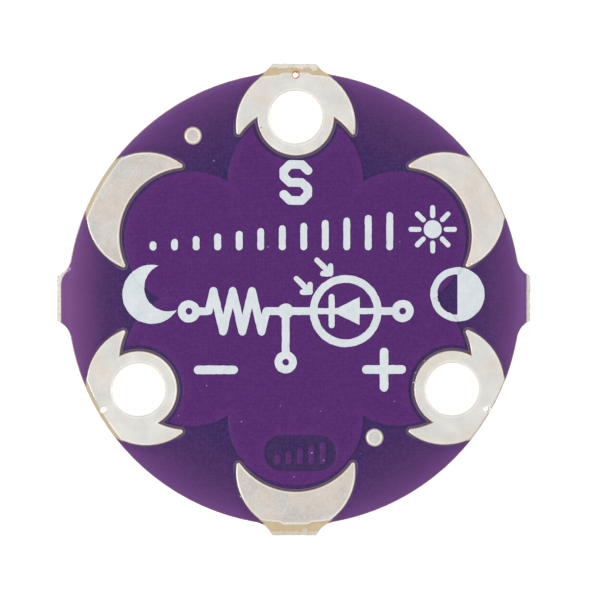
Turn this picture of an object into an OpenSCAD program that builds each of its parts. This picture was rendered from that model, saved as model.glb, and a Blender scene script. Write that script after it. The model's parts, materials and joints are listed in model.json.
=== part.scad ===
// Round light sensor board that is sewn to cloth with conductive thread.
// Millimetres. It lies with its components down: the origin is under the middle of the routed
// outline, on the plane that the sensor's lens touches. +Z points out of the bare back face,
// and +Y points at the signal hole.

/* [Outline] */
// Diameter of the routed disc
board_d = 20; // [19.6:0.1:20.4]
// Thickness of the bare laminate
core_t = 0.71; // [0.6:0.01:1.6]
// How far a break-off tab stands out of the disc
tab_reach = 0.44; // [0.38:0.01:0.5]
// How far the tab at the signal pad stands out, as it snapped off shorter
top_tab_reach = 0.34; // [0.3:0.01:0.4]
// Width of a tab at its snapped end
tab_w = 1.94; // [1.6:0.02:2.4]
// Radius of the router that cut the outline
router_r = 1; // [0.8:0.05:1.2]
// Width of the scored bevel along the end of a tab
score_w = 0.13; // [0.08:0.01:0.18]
// Depth of the scored bevel, from each face
score_depth = 0.24; // [0.14:0.01:0.26]

/* [Sewing holes] */
// Distance from the disc's edge to the middle of a sewing hole
sew_inset = 2; // [1.95:0.01:2.05]
// Diameter of a finished sewing hole
sew_d = 2.34; // [2.1:0.01:2.5]
// Width of the bare ring around a sewing hole
ring_w = 0.52; // [0.44:0.01:0.6]
// Thickness of the plating on the wall of a hole
plating_t = 0.03; // [0.02:0.005:0.04]
// Diameter of the small plated hole near the edge of a sewing pad
edge_hole_d = 0.28; // [0.2:0.01:0.29]
// Thickness of the plating in that small hole
edge_plating_t = 0.015; // [0.01:0.005:0.02]
// Distance from the disc's edge to the middle of that small hole
edge_hole_inset = 0.22; // [0.22:0.01:0.3]
// The same distance for the small hole of the signal pad, where the tab gives it room
tab_hole_inset = 0.14; // [0.12:0.01:0.3]

/* [Petals] */
// Radius of the outer arc of a petal
petal_r = 2.635; // [2.6:0.005:2.68]
// Distance from the disc's edge to the middle of that arc
petal_inset = 2.385; // [2.34:0.005:2.43]
// Radius of the arc that hollows a petal out
hollow_r = 3.04; // [3:0.01:3.1]
// Distance between the middles of those two arcs
hollow_drop = 2.135; // [2.1:0.005:2.2]
// Radius of the two points of a petal
tip_r = 0.09; // [0.06:0.01:0.12]
// Radius of the two corners of a petal at the board's edge
shoulder_r = 0.3; // [0.15:0.01:0.4]
// Bare laminate between the copper and the board's edge
edge_setback = 0.11; // [0.1:0.01:0.2]
// How far a petal's copper steps out where it meets a tab
step_out = 0.07; // [0.05:0.01:0.12]
// Width of that step along its outer side
step_w = 1.1; // [0.8:0.02:1.4]
// Run of the step's sloping ends
step_run = 0.17; // [0.08:0.01:0.2]
// Width of the strip without solder mask where a petal meets a tab
bare_w = 2.9; // [2.8:0.02:3]

/* [Flower] */
// Radius of each of the six lobes
lobe_r = 2.97; // [2.93:0.01:3.02]
// Gap between a lobe and the hollow of the petal over it
lobe_gap = 0.29; // [0.24:0.01:0.34]
// Gap between the flower and the ring of a sewing hole
ring_gap = 0.27; // [0.2:0.01:0.34]

/* [Layers] */
// Thickness of the copper with its plating
copper_t = 0.035; // [0.025:0.005:0.07]
// Thickness of the solder mask
mask_t = 0.025; // [0.015:0.005:0.04]
// Gap between a bare pad and the solder mask around it
mask_gap = 0.05; // [0.03:0.01:0.08]
// Thickness of the printed ink
ink_t = 0.02; // [0.01:0.005:0.03]
// How far the drilled and etched pattern lies to the right of the routed outline
pattern_shift = 0.05; // [0:0.01:0.06]
// Diameter of the alignment dots
dot_d = 0.69; // [0.6:0.01:0.9]

/* [Etched scale] */
// Length of the window that is etched out of the flower
window_l = 3.2; // [2.8:0.1:3.6]
// Height of the window
window_h = 1.6; // [1.4:0.1:1.8]
// Width of each copper bar that is left standing in the window
etched_w = 0.22; // [0.16:0.02:0.28]
// Distance from bar to bar
etched_pitch = 0.5; // [0.46:0.02:0.56]
// Height of the shortest bar
etched_low = 0.42; // [0.3:0.02:0.5]
// Height of the tallest bar
etched_high = 0.98; // [0.8:0.02:1.1]

/* [Print] */
// Width of the printed terminal letter
letter_w = 1.06; // [0.9:0.02:1.2]
// Height of that letter, between the middles of its strokes
letter_h = 1.58; // [1.4:0.02:1.7]
// Length of the strokes of the minus and plus marks
sign_l = 1.94; // [1.7:0.02:2.1]
// Width of the strokes of the letter and the signs
sign_w = 0.38; // [0.3:0.02:0.44]
// Width of the strokes of the light scale
scale_stroke = 0.3; // [0.24:0.02:0.36]
// Distance from bar to bar in the light scale
scale_pitch = 0.95; // [0.9:0.01:1]
// Height of the shortest bar of the light scale
scale_low = 0.4; // [0.3:0.02:0.6]
// Height of the tallest bar of the light scale
scale_high = 1.68; // [1.4:0.02:1.7]
// Width of the strokes of the circuit drawing
draw_w = 0.34; // [0.28:0.02:0.38]
// Height of the zigzag in the circuit drawing, to each side
zigzag_h = 0.9; // [0.6:0.05:1]
// Radius of the sensor's circle in the circuit drawing
symbol_r = 1.42; // [1.3:0.02:1.5]

/* [Sensor] */
// Length of the light sensor
sensor_l = 1.7; // [1.6:0.05:1.8]
// Width of the light sensor
sensor_w = 0.8; // [0.7:0.05:0.9]
// Thickness of the sensor's carrier
carrier_t = 0.2; // [0.16:0.02:0.24]
// Height of the clear lens over the carrier
lens_h = 0.4; // [0.36:0.02:0.5]
// Length of the lens at its foot
lens_l = 1.3; // [1.2:0.02:1.36]
// How far each end of the lens leans in
lens_draft = 0.06; // [0.02:0.01:0.1]
// Thickness of the plated contacts
contact_t = 0.03; // [0.02:0.005:0.04]
// Side of the square light-sensing chip
die_w = 0.36; // [0.3:0.02:0.4]
// Thickness of the chip
die_t = 0.12; // [0.08:0.01:0.14]
// Diameter of the bond wire
wire_d = 0.025; // [0.02:0.005:0.04]
// Radius of the bond wire's loop
loop_r = 0.2; // [0.18:0.01:0.22]

/* [Resistor] */
// Length of the chip resistor
resistor_l = 1.6; // [1.5:0.05:1.7]
// Width of the chip resistor
resistor_w = 0.8; // [0.7:0.05:0.9]
// Height of the chip resistor over its end caps
resistor_h = 0.45; // [0.4:0.01:0.5]
// Length of each end cap
cap_l = 0.3; // [0.2:0.02:0.4]
// Thickness of each end cap
cap_t = 0.02; // [0.015:0.005:0.03]
// Distance of the resistor from the sensor, to the left
resistor_left = 2.2; // [2:0.05:2.3]
// Distance of the resistor from the sensor, downwards
resistor_down = 1.6; // [1.4:0.05:1.8]

/* [Joints and tracks] */
// Thickness of the solder under a contact
solder_t = 0.03; // [0.02:0.005:0.05]
// Height that the solder climbs at the ends of the sensor
sensor_climb = 0.2; // [0.14:0.01:0.21]
// Height that the solder climbs at the ends of the resistor
resistor_climb = 0.3; // [0.2:0.01:0.31]
// Length of a land beyond the end of its component
land_out = 0.34; // [0.32:0.01:0.4]
// Length of a land under its component
land_in = 0.4; // [0.34:0.01:0.44]
// Width of the tracks
track_w = 0.25; // [0.2:0.01:0.35]
// Gap between the front flower and the tracks in it
track_gap = 0.2; // [0.16:0.01:0.24]

/* [Hidden] */
$fn = 96;
// Length that a cutter runs past the face it cuts
over = 1;
// How far a round stands proud of the arcs that it joins, so that they cross cleanly
blend = 0.003;
board_r = board_d / 2;
// Middle of a sewing hole and of the arcs, on the +Y spoke
sew_y = board_r - sew_inset;
petal_y = board_r - petal_inset;
hollow_y = petal_y - hollow_drop;
lobe_y = hollow_y + hollow_r - lobe_gap - lobe_r;
foil_r = board_r - edge_setback;
bare_y = petal_y + petal_r / 2;
sew_r = sew_d / 2;
ring_r = sew_r + ring_w;
sew_drill_r = sew_r + plating_t;
edge_hole_r = edge_hole_d / 2;
edge_drill_r = edge_hole_r + edge_plating_t;
// The two sides of a mirrored shape
left = -1;
right = 1;
sides = [left, right];
// Heights of the board's two bare faces
sensor_h = carrier_t + lens_h;
front_z = copper_t + solder_t + sensor_h;
back_z = front_z + core_t;
// Turns from the +Y spoke
signal_turn = 0;
minus_turn = 120;
plus_turn = 240;
sew_turns = [signal_turn, minus_turn, plus_turn];
upper_left_turn = 60;
bottom_turn = 180;
upper_right_turn = 300;
// Turn and reach of each break-off tab
tabs = [[0, top_tab_reach], [90, tab_reach], [180, tab_reach], [270, tab_reach]];
lobe_turns = [0 : 60 : 300];
// Middles of the sewing holes, before the pattern's shift
signal_hole = [0, sew_y];
minus_hole = [-sew_y * sin(minus_turn), sew_y * cos(minus_turn)];
plus_hole = [-sew_y * sin(plus_turn), sew_y * cos(plus_turn)];
// Notch between two lobes, on the spoke halfway between theirs
notch_y = lobe_y * cos(30) + sqrt(lobe_r * lobe_r - pow(lobe_y * sin(30), 2));
// Alignment dots: how far in from the disc's edge or out from a notch, angle from the Y axis, middle
dot_upper_inset = 1.505;
dot_upper_turn = 32.3;
dot_lower_out = 1.115;
dot_lower_turn = 29.6;
dot_upper = (board_r - dot_upper_inset) * [sin(dot_upper_turn), cos(dot_upper_turn)];
dot_lower = (notch_y + dot_lower_out) * [sin(dot_lower_turn), -cos(dot_lower_turn)];
back_dot_upper = [-dot_upper[0], dot_upper[1]];
back_dot_lower = dot_lower;
front_dot_upper = dot_upper;
front_dot_lower = [-dot_lower[0], dot_lower[1]];
// Etched scale in the back flower
window_drop = 1.55;
window_at = [0.2, -lobe_y - window_drop];
etched_bars = 5;
// Places of the printed marks; the letter and the signs keep their distance from their holes
letter_off = [0, -2.88];
minus_off = [3.4, 0.87];
plus_off = [-3.03, 0.87];
letter_at = signal_hole + letter_off;
minus_at = minus_hole + minus_off;
plus_at = plus_hole + plus_off;
scale_at = [-6.3, 2.28];
scale_bars = 12;
sun_at = [6.05, 3.05];
sun_r = 0.4;
sun_ray = 0.36;
sun_gap = 0.2;
sun_rays = 8;
ray_w = 0.22;
moon_at = [3.65 - board_r, 0.2];
moon_r = 1.3;
moon_bite = 1.06;
moon_bite_at = [0.72, 0.3];
dial_at = [board_r - 2.85, 0.18];
dial_r = 1.2;
dial_w = 0.3;
// Circuit drawing: heights and stops of its lines
wire_y = -0.55;
end_x = 4.72;
end_r = 0.32;
zigzag_x = [-3.85, -1.3];
zigzags = 6;
node_x = -0.45;
node_r = 0.34;
branch_y = -2.8;
symbol_at = [2.2, wire_y];
symbol_tri = 0.62;
arrow_l = 0.85;
arrow_head = 0.34;
arrow_gap = 0.36;
arrow_turns = [152, 112];
arrow_w = 0.24;
symbol_w = 0.27;
light_from = 135;
// Front side: contacts, tracks and marks
contact_in = 0.36;
notch_r = 0.15;
die_x = -loop_r;
lead_gap = 0.11;
die_rim = 0.04;
overcoat_t = 0.015;
resistor_at = [-resistor_left, -resistor_down];
front_letter_off = [1.5, -3];
front_sign_off = [4, -0.4];
front_letter_at = signal_hole + front_letter_off;
front_minus_at = minus_hole + front_sign_off;
front_plus_at = plus_hole + [-front_sign_off[0], front_sign_off[1]];
frame_gap = 0.32;
frame_w = 0.15;
solder_edge = 0.01;
wire_steps = 48;
wire_sides = 16;

// Right-hand crossing of two circles whose middles lie on the Y axis at ya and yb
function crossing(ya, ra, yb, rb) =
    let (y = (ra * ra - rb * rb + yb * yb - ya * ya) / (2 * (yb - ya)))
    [sqrt(ra * ra - (y - ya) * (y - ya)), y];

// Point on the circle of radius r about [0, y], in the direction of p
function onto(y, r, p) = [0, y] + (p - [0, y]) * r / norm(p - [0, y]);

// Middle of the router beside a +Y tab of reach r: its path touches the disc and the tab's corner
function router_at(r) =
    let (corner = [tab_w / 2, board_r + r],
        ring = board_r + router_r,
        along = (corner * corner + ring * ring - router_r * router_r) / (2 * norm(corner)),
        aside = sqrt(ring * ring - along * along))
    (corner * along + [corner[1], -corner[0]] * aside) / norm(corner);

// Half the width of that tab where it leaves the disc
function tab_root(r) = router_at(r)[0] * board_r / (board_r + router_r);

// Middle of the small hole at a pad's edge, on the +Y spoke
function edge_hole_y(at_tab) = board_r - (at_tab ? tab_hole_inset : edge_hole_inset);

// Height of bar i of n, from low to high
function rising(i, n, low, high) = low + (high - low) * i / (n - 1);

// The drilled, etched and printed pattern, as it lies on the routed board
module pattern() translate([pattern_shift, 0, 0]) children();

// What is drawn outwards from a bare face of the board
module on_back() pattern() translate([0, 0, back_z]) children();
module on_front() pattern() translate([0, 0, front_z]) mirror([0, 0, 1]) children();

// A line of round-ended strokes from point to point
module stroke(points, w) {
    for (i = [0 : len(points) - 2]) {
        step = points[i + 1] - points[i];
        translate(points[i]) rotate(atan2(step[1], step[0]))
            translate([0, -w / 2]) square([norm(step), w]);
    }
    for (p = points) translate(p) circle(w / 2);
}

// Rounds both corners where an arc about [0, ya] meets one about [0, yb]. The round has radius r,
// and its middle lies da and db from theirs; ra and rb are the arcs' own radii.
module round_corners(ya, ra, da, yb, rb, db, r) {
    middle = crossing(ya, da, yb, db);
    chord = (onto(ya, ra, middle) + onto(yb, rb, middle)) / 2;
    out = chord - middle;
    reach = 3 * r;
    difference() {
        children();
        for (side = sides) difference() {
            translate([side * chord[0], chord[1]]) rotate(atan2(out[1], side * out[0]))
                translate([0, -reach]) square(2 * reach);
            translate([side * middle[0], middle[1]]) circle(r + blend);
        }
    }
}

// Board outline: the disc with what the router left standing at each tab
module outline() difference() {
    union() {
        circle(board_r);
        for (tab = tabs) rotate(tab[0]) translate([-tab_root(tab[1]), 0])
            square([2 * tab_root(tab[1]), board_r + tab[1]]);
    }
    for (tab = tabs, side = sides) rotate(tab[0])
        translate([side * router_at(tab[1])[0], router_at(tab[1])[1]]) circle(router_r + blend);
}

// Petal on the +Y spoke, grown by g on every side
module petal(g) {
    round_corners(petal_y, petal_r + g, petal_r - tip_r,
        hollow_y, hollow_r - g, hollow_r + tip_r, tip_r + g)
    difference() {
        translate([0, petal_y]) circle(petal_r + g);
        translate([0, hollow_y]) circle(hollow_r - g);
    }
}

// Ring of a sewing hole on the +Y spoke, grown by g
module ring(g) translate([0, sew_y]) circle(ring_r + g);

// Copper of a petal: cut back from the board's edge, and stepped out again at a tab
module petal_foil(at_tab) {
    slope = step_w / 2 + step_run;
    foot = sqrt(foil_r * foil_r - slope * slope) - blend;
    round_corners(0, foil_r, foil_r - shoulder_r,
        petal_y, petal_r, petal_r - shoulder_r, shoulder_r)
    difference() {
        petal(0);
        difference() {
            circle(board_r + petal_r);
            circle(foil_r);
            if (at_tab) polygon([[-slope, foot - shoulder_r], [-slope, foot],
                [-step_w / 2, foil_r + step_out], [step_w / 2, foil_r + step_out],
                [slope, foot], [slope, foot - shoulder_r]]);
        }
    }
}

// Copper of a sewing pad, before its holes are opened
module sewing_pad(at_tab) {
    petal_foil(at_tab);
    ring(0);
    translate([0, edge_hole_y(at_tab)]) circle(edge_drill_r);
}

// The six lobes, grown by g
module lobes(g) {
    circle(lobe_y);
    for (turn = lobe_turns) rotate(turn) translate([0, lobe_y]) circle(lobe_r + g);
}

// Room that the flower leaves around the sewing rings, grown by g
module ring_room(g) for (turn = sew_turns) rotate(turn) ring(ring_gap + g);

// Window in the back flower, grown by g
module window(g) {
    reach = (window_l - window_h) / 2;
    stroke([window_at - [reach, 0], window_at + [reach, 0]], window_h + 2 * g);
}

// Copper bars in the window, grown by g
module etched(g) {
    for (i = [0 : etched_bars - 1]) {
        x = window_at[0] + (i - (etched_bars - 1) / 2) * etched_pitch;
        foot = window_at[1] - etched_high / 2;
        tall = rising(i, etched_bars, etched_low, etched_high);
        stroke([[x, foot + etched_w / 2], [x, foot + tall - etched_w / 2]], etched_w + 2 * g);
    }
}

// Copper under the back mask, grown by g
module back_foil(g) {
    difference() {
        lobes(g);
        ring_room(-g);
        window(-g);
    }
    etched(g);
}

// Land at one end of a component of length l and width w, grown by g
module land(side, l, w, g) translate([side * (l + land_out - land_in) / 2, 0])
    square([land_in + land_out + 2 * g, w + 2 * g], center = true);

module sensor_land(side, g) land(side, sensor_l, sensor_w, g);
module resistor_land(side, g) translate(resistor_at) land(side, resistor_l, resistor_w, g);

// Lands and tracks of each net on the front, grown by g
module signal_tracks(g) {
    from = -sensor_l / 2;
    up = -from;
    pad = resistor_at + [resistor_l / 2, 0];
    sensor_land(left, g);
    resistor_land(right, g);
    stroke([[from, 0], [from, up], [0, 2 * up], [0, sew_y - ring_r + ring_w / 2]], track_w + 2 * g);
    stroke([[from, 0], [from, pad[1] + from - pad[0]], pad], track_w + 2 * g);
}

module minus_tracks(g) {
    pad = resistor_at - [resistor_l / 2, 0];
    end = minus_hole + [ring_r - ring_w / 2, 0];
    resistor_land(left, g);
    stroke([pad, [pad[0] - pad[1] + end[1], end[1]], end], track_w + 2 * g);
}

module plus_tracks(g) {
    pad = [sensor_l / 2, 0];
    end = plus_hole - [ring_r - ring_w / 2, 0];
    sensor_land(right, g);
    stroke([pad, [end[0] + end[1], 0], end], track_w + 2 * g);
}

module tracks(g) {
    signal_tracks(g);
    minus_tracks(g);
    plus_tracks(g);
}

// Copper of the front flower, grown by g
module front_flower_foil(g) difference() {
    lobes(g);
    ring_room(-g);
    tracks(track_gap - g);
}

// Copper under the front mask, grown by g
module front_foil(g) {
    front_flower_foil(g);
    tracks(g);
}

// Board area that the mask may cover: all but the scored ends and the bare tabs
module mask_field() difference() {
    translate([-pattern_shift, 0]) difference() {
        outline();
        for (tab = tabs) rotate(tab[0]) translate([-tab_w, board_r + tab[1] - score_w])
            square([2 * tab_w, over]);
    }
    for (turn = [signal_turn, bottom_turn]) rotate(turn) translate([-bare_w / 2, bare_y])
        square([bare_w, petal_r]);
}

// Openings in both masks around the petals and the sewing rings
module pad_openings() {
    for (turn = lobe_turns) rotate(turn) petal(mask_gap);
    for (turn = sew_turns) rotate(turn) ring(mask_gap);
}

// Opening around an alignment dot
module dot_opening(at) translate(at) circle(dot_d / 2 + mask_gap);

// A layer of thickness t that lies at low, and climbs to high where the foil under it is raised.
// Children: the layer's area, the raised area, and the raised area grown by t.
module coat(t, low, high) difference() {
    union() {
        translate([0, 0, low]) linear_extrude(t) children(0);
        translate([0, 0, low]) linear_extrude(high - low + t) intersection() {
            children(0);
            children(2);
        }
    }
    translate([0, 0, high - over]) linear_extrude(over) children(1);
}

// A strip of copper on a bare face
module foil() linear_extrude(copper_t) children();

// Plated sewing pad through the board on one spoke, with what its net has on the front
module sewing_net(turn, at_tab) pattern() difference() {
    union() {
        translate([0, 0, back_z]) foil() rotate(turn) sewing_pad(at_tab);
        translate([0, 0, front_z - copper_t]) foil() {
            rotate(turn) sewing_pad(at_tab);
            children();
        }
        translate([0, 0, front_z]) linear_extrude(core_t) rotate(turn) {
            translate([0, sew_y]) circle(sew_drill_r);
            translate([0, edge_hole_y(at_tab)]) circle(edge_drill_r);
        }
    }
    rotate(turn) translate([0, sew_y, front_z - over])
        cylinder(r = sew_r, h = core_t + 2 * over);
    rotate(turn) translate([0, edge_hole_y(at_tab), front_z - over])
        cylinder(r = edge_hole_r, h = core_t + 2 * over);
}

// Bevel that the score leaves along a +Y tab that ends at y = end, on the face at z = 0, outwards up
module score(end) rotate([90, 0, 90]) translate([0, 0, -tab_w])
    linear_extrude(2 * tab_w)
    polygon([[end - score_w, 0], [end, -score_depth], [end + over, -score_depth],
        [end + over, over], [end - score_w, over]]);

module substrate() color([0.8, 0.74, 0.56]) difference() {
    translate([0, 0, front_z]) linear_extrude(core_t) difference() {
        outline();
        translate([pattern_shift, 0]) for (turn = sew_turns) rotate(turn) {
            translate([0, sew_y]) circle(sew_drill_r);
            translate([0, edge_hole_y(turn == signal_turn)]) circle(edge_drill_r);
        }
    }
    for (tab = tabs) rotate(tab[0]) {
        translate([0, 0, back_z]) score(board_r + tab[1]);
        translate([0, 0, front_z]) mirror([0, 0, 1]) score(board_r + tab[1]);
    }
}

module signal_net() color([0.85, 0.83, 0.79]) sewing_net(signal_turn, true) signal_tracks(0);
module minus_net() color([0.85, 0.83, 0.79]) sewing_net(minus_turn, false) minus_tracks(0);
module plus_net() color([0.85, 0.83, 0.79]) sewing_net(plus_turn, false) plus_tracks(0);

// Plain petals; only the one at the bottom meets a tab
module plain_petal(turn) color([0.84, 0.82, 0.78]) foil() rotate(turn)
    petal_foil(turn == bottom_turn);

module back_petal_upper_left() on_back() plain_petal(upper_left_turn);
module back_petal_bottom() on_back() plain_petal(bottom_turn);
module back_petal_upper_right() on_back() plain_petal(upper_right_turn);
module front_petal_upper_left() on_front() plain_petal(upper_left_turn);
module front_petal_bottom() on_front() plain_petal(bottom_turn);
module front_petal_upper_right() on_front() plain_petal(upper_right_turn);

module back_flower() color([0.72, 0.45, 0.3]) on_back() foil() difference() {
    lobes(0);
    ring_room(0);
    window(0);
}

module front_flower() color([0.72, 0.45, 0.3]) on_front() foil() front_flower_foil(0);

module back_etched_bars() color([0.72, 0.45, 0.3]) on_back() foil() etched(0);

module dot(at) color([0.85, 0.83, 0.79]) foil() translate(at) circle(dot_d / 2);

module back_dot_high() on_back() dot(back_dot_upper);
module back_dot_low() on_back() dot(back_dot_lower);
module front_dot_high() on_front() dot(front_dot_upper);
module front_dot_low() on_front() dot(front_dot_lower);

module back_mask() color([0.36, 0.19, 0.46]) on_back() coat(mask_t, 0, copper_t) {
    difference() {
        mask_field();
        pad_openings();
        dot_opening(back_dot_upper);
        dot_opening(back_dot_lower);
    }
    back_foil(0);
    back_foil(mask_t);
}

module front_mask() color([0.36, 0.19, 0.46]) on_front() coat(mask_t, 0, copper_t) {
    difference() {
        mask_field();
        pad_openings();
        dot_opening(front_dot_upper);
        dot_opening(front_dot_lower);
        for (side = sides) {
            sensor_land(side, mask_gap);
            resistor_land(side, mask_gap);
        }
    }
    front_foil(0);
    front_foil(mask_t);
}

// Letter of the signal terminal, about its own middle: a half stroke and its opposite. It reads
// from the back with side = right, and from the front with side = left.
module letter(side) {
    x = side * letter_w / 2;
    y = letter_h / 2;
    cut = letter_w / 4;
    in = x - side * cut;
    half = [[x, y - cut], [in, y], [-in, y], [-x, y - cut], [-x, cut], [-in, 0]];
    stroke(concat(half, [for (i = [len(half) - 1 : -1 : 0]) -half[i]]), sign_w);
}

// Signs of the minus and plus terminals
module minus_sign() {
    half = (sign_l - sign_w) / 2;
    stroke([[-half, 0], [half, 0]], sign_w);
}

module plus_sign() {
    minus_sign();
    rotate(90) minus_sign();
}

// Scale from dim to bright: bars that grow towards a small sun
module light_scale() {
    for (i = [0 : scale_bars - 1]) {
        tall = rising(i, scale_bars, scale_low, scale_high) - scale_stroke;
        foot = scale_at + [i * scale_pitch, 0];
        stroke([foot, foot + [0, tall]], scale_stroke);
    }
    translate(sun_at) {
        circle(sun_r);
        for (i = [0 : sun_rays - 1]) rotate(i * 360 / sun_rays)
            stroke([[sun_r + sun_gap, 0], [sun_r + sun_gap + sun_ray, 0]], ray_w);
    }
}

// Open ring that ends a line of the circuit drawing
module open_end(at) translate(at) difference() {
    circle(end_r + draw_w / 2);
    circle(end_r - draw_w / 2);
}

// Arrow that points at the circuit drawing's sensor from one direction
module light_arrow(turn) {
    tip = symbol_at + (symbol_r + arrow_gap) * [cos(turn), sin(turn)];
    stroke([tip, tip + arrow_l * [cos(light_from), sin(light_from)]], arrow_w);
    stroke([tip + [-arrow_head, 0], tip, tip + [0, arrow_head]], arrow_w);
}

// Circuit drawing: a resistor, a branch and a light sensor between two ends
module circuit() {
    run = (zigzag_x[1] - zigzag_x[0]) / zigzags;
    peaks = [for (i = [0 : zigzags - 1])
        [zigzag_x[0] + (i + 0.5) * run, wire_y + (i % 2 == 0 ? zigzag_h : -zigzag_h)]];
    start = [end_r - end_x, wire_y];
    line = concat([start, [zigzag_x[0], wire_y]], peaks, [[zigzag_x[1], wire_y]]);
    stroke(concat(line, [[symbol_at[0] - symbol_r, wire_y]]), draw_w);
    stroke([[symbol_at[0] + symbol_r, wire_y], [end_x - end_r, wire_y]], draw_w);
    stroke([[node_x, wire_y], [node_x, branch_y + end_r]], draw_w);
    translate([node_x, wire_y]) circle(node_r);
    open_end([-end_x, wire_y]);
    open_end([end_x, wire_y]);
    open_end([node_x, branch_y]);
    translate(symbol_at) {
        difference() {
            circle(symbol_r + draw_w / 2);
            circle(symbol_r - draw_w / 2);
        }
        stroke([[-symbol_r, 0], [symbol_r, 0]], symbol_w);
        polygon([[-symbol_tri, 0], [symbol_tri, symbol_tri], [symbol_tri, -symbol_tri]]);
        stroke([[-symbol_tri, symbol_tri], [-symbol_tri, -symbol_tri]], symbol_w);
    }
    for (turn = arrow_turns) light_arrow(turn);
}

// Crescent at the left of the flower
module moon() translate(moon_at) difference() {
    circle(moon_r);
    translate(moon_bite_at) circle(moon_bite);
}

// Half-filled dial at the right of the flower
module dial() translate(dial_at) difference() {
    circle(dial_r);
    intersection() {
        circle(dial_r - dial_w);
        translate([-dial_r, -dial_r]) square([dial_r, 2 * dial_r]);
    }
}

// Print that lies wholly over the back flower
module flat_print() {
    translate(letter_at) letter(right);
    translate(minus_at) minus_sign();
    translate(plus_at) plus_sign();
    light_scale();
    circuit();
}

module back_print() color([0.9, 0.92, 0.92]) on_back() {
    translate([0, 0, copper_t + mask_t]) linear_extrude(ink_t) flat_print();
    coat(ink_t, mask_t, copper_t + mask_t) {
        union() {
            moon();
            dial();
        }
        back_foil(mask_t);
        back_foil(mask_t + ink_t);
    }
}

// Outline printed along both sides of a component
module side_lines(l, w) for (side = sides)
    stroke([[-l / 2, side * (w / 2 + frame_gap)], [l / 2, side * (w / 2 + frame_gap)]], frame_w);

module front_marks() {
    translate(front_letter_at) letter(left);
    translate(front_minus_at) minus_sign();
    translate(front_plus_at) plus_sign();
    side_lines(sensor_l / 2, sensor_w);
    translate(resistor_at) side_lines(resistor_l / 2, resistor_w);
}

module front_print() color([0.9, 0.92, 0.92]) on_front() coat(ink_t, mask_t, copper_t + mask_t) {
    front_marks();
    front_foil(mask_t);
    front_foil(mask_t + ink_t);
}

// The frame of a component on the front: z = 0 on its underside, outwards up
module seat() on_front() translate([0, 0, copper_t + solder_t]) children();

// Contact at the right end of the sensor, whose upper plate reaches in to x = reach
module contact(reach) {
    half = sensor_l / 2;
    translate([half - contact_in, -sensor_w / 2, 0]) cube([contact_in - notch_r, sensor_w, contact_t]);
    translate([reach, -sensor_w / 2, carrier_t - contact_t])
        cube([half - notch_r - reach, sensor_w, contact_t]);
    difference() {
        union() {
            for (z = [0, carrier_t - contact_t]) translate([half - notch_r, -sensor_w / 2, z])
                cube([notch_r, sensor_w, contact_t]);
            translate([half, 0, 0]) cylinder(r = notch_r + contact_t, h = carrier_t);
        }
        translate([half, 0, -over]) cylinder(r = notch_r, h = 2 * over);
        translate([half, -over, -over]) cube(2 * over);
    }
}

module plus_contact() contact(die_x + die_w / 2 + die_rim + lead_gap);
module signal_contact() mirror([1, 0, 0]) contact(-die_x - die_w / 2 - die_rim);

module die() translate([die_x - die_w / 2, -die_w / 2, carrier_t]) cube([die_w, die_w, die_t]);

// Bond wire: a half loop from the die's top, and a short leg down to the plus contact
module wire() {
    translate([die_x + loop_r, 0, carrier_t + die_t]) rotate([90, 0, 0])
        rotate_extrude(angle = 180, $fn = wire_steps) translate([loop_r, 0])
        circle(wire_d / 2, $fn = wire_sides);
    translate([die_x + 2 * loop_r, 0, carrier_t])
        cylinder(d = wire_d, h = die_t, $fn = wire_sides);
}

module sensor_carrier() color([0.86, 0.84, 0.74]) seat() difference() {
    translate([-sensor_l / 2, -sensor_w / 2, 0]) cube([sensor_l, sensor_w, carrier_t]);
    for (side = sides) translate([side * sensor_l / 2, 0, -over])
        cylinder(r = notch_r, h = 2 * over);
    plus_contact();
    signal_contact();
}

module sensor_contact_signal() color([0.85, 0.68, 0.35]) seat() signal_contact();
module sensor_contact_plus() color([0.85, 0.68, 0.35]) seat() plus_contact();
module sensor_die() color([0.25, 0.22, 0.28]) seat() die();
module sensor_bond_wire() color([0.9, 0.75, 0.4]) seat() wire();

module sensor_lens() color([0.93, 0.94, 0.9, 0.5]) seat() difference() {
    translate([0, sensor_w / 2, carrier_t]) rotate([90, 0, 0]) linear_extrude(sensor_w)
        polygon([[-lens_l / 2, 0], [lens_l / 2, 0], [lens_l / 2 - lens_draft, lens_h],
            [lens_draft - lens_l / 2, lens_h]]);
    die();
    wire();
}

// End cap that wraps the right end of the resistor
module cap() difference() {
    translate([resistor_l / 2 - cap_l, -resistor_w / 2, 0]) cube([cap_l, resistor_w, resistor_h]);
    resistor_core(over);
}

// Ceramic core of the resistor, as wide as the part; spare makes a wider one to cut with
module resistor_core(spare) {
    l = resistor_l - 2 * cap_t;
    translate([-l / 2, -resistor_w / 2 - spare, cap_t])
        cube([l, resistor_w + 2 * spare, resistor_h - 2 * cap_t]);
}

module seat_resistor() seat() translate(concat(resistor_at, 0)) children();

module resistor_body() color([0.92, 0.92, 0.9]) seat_resistor() resistor_core(0);
module resistor_cap_signal() color([0.78, 0.78, 0.76]) seat_resistor() cap();
module resistor_cap_minus() color([0.78, 0.78, 0.76]) seat_resistor() mirror([1, 0, 0]) cap();
module resistor_overcoat() color([0.1, 0.1, 0.11]) seat_resistor()
    translate([cap_l - resistor_l / 2, -resistor_w / 2, resistor_h - cap_t])
    cube([resistor_l - 2 * cap_l, resistor_w, overcoat_t]);

// Solder at the right end of a component: a film under it, and a hollow fillet up its end
module solder(l, w, climb) translate([0, w / 2, -solder_t]) rotate([90, 0, 0]) linear_extrude(w) {
    top = climb + solder_edge;
    translate([l / 2 - land_in, 0]) square([land_in + top, solder_t]);
    difference() {
        translate([l / 2, 0]) square(top);
        translate([l / 2 + top, top]) circle(climb);
    }
}

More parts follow.
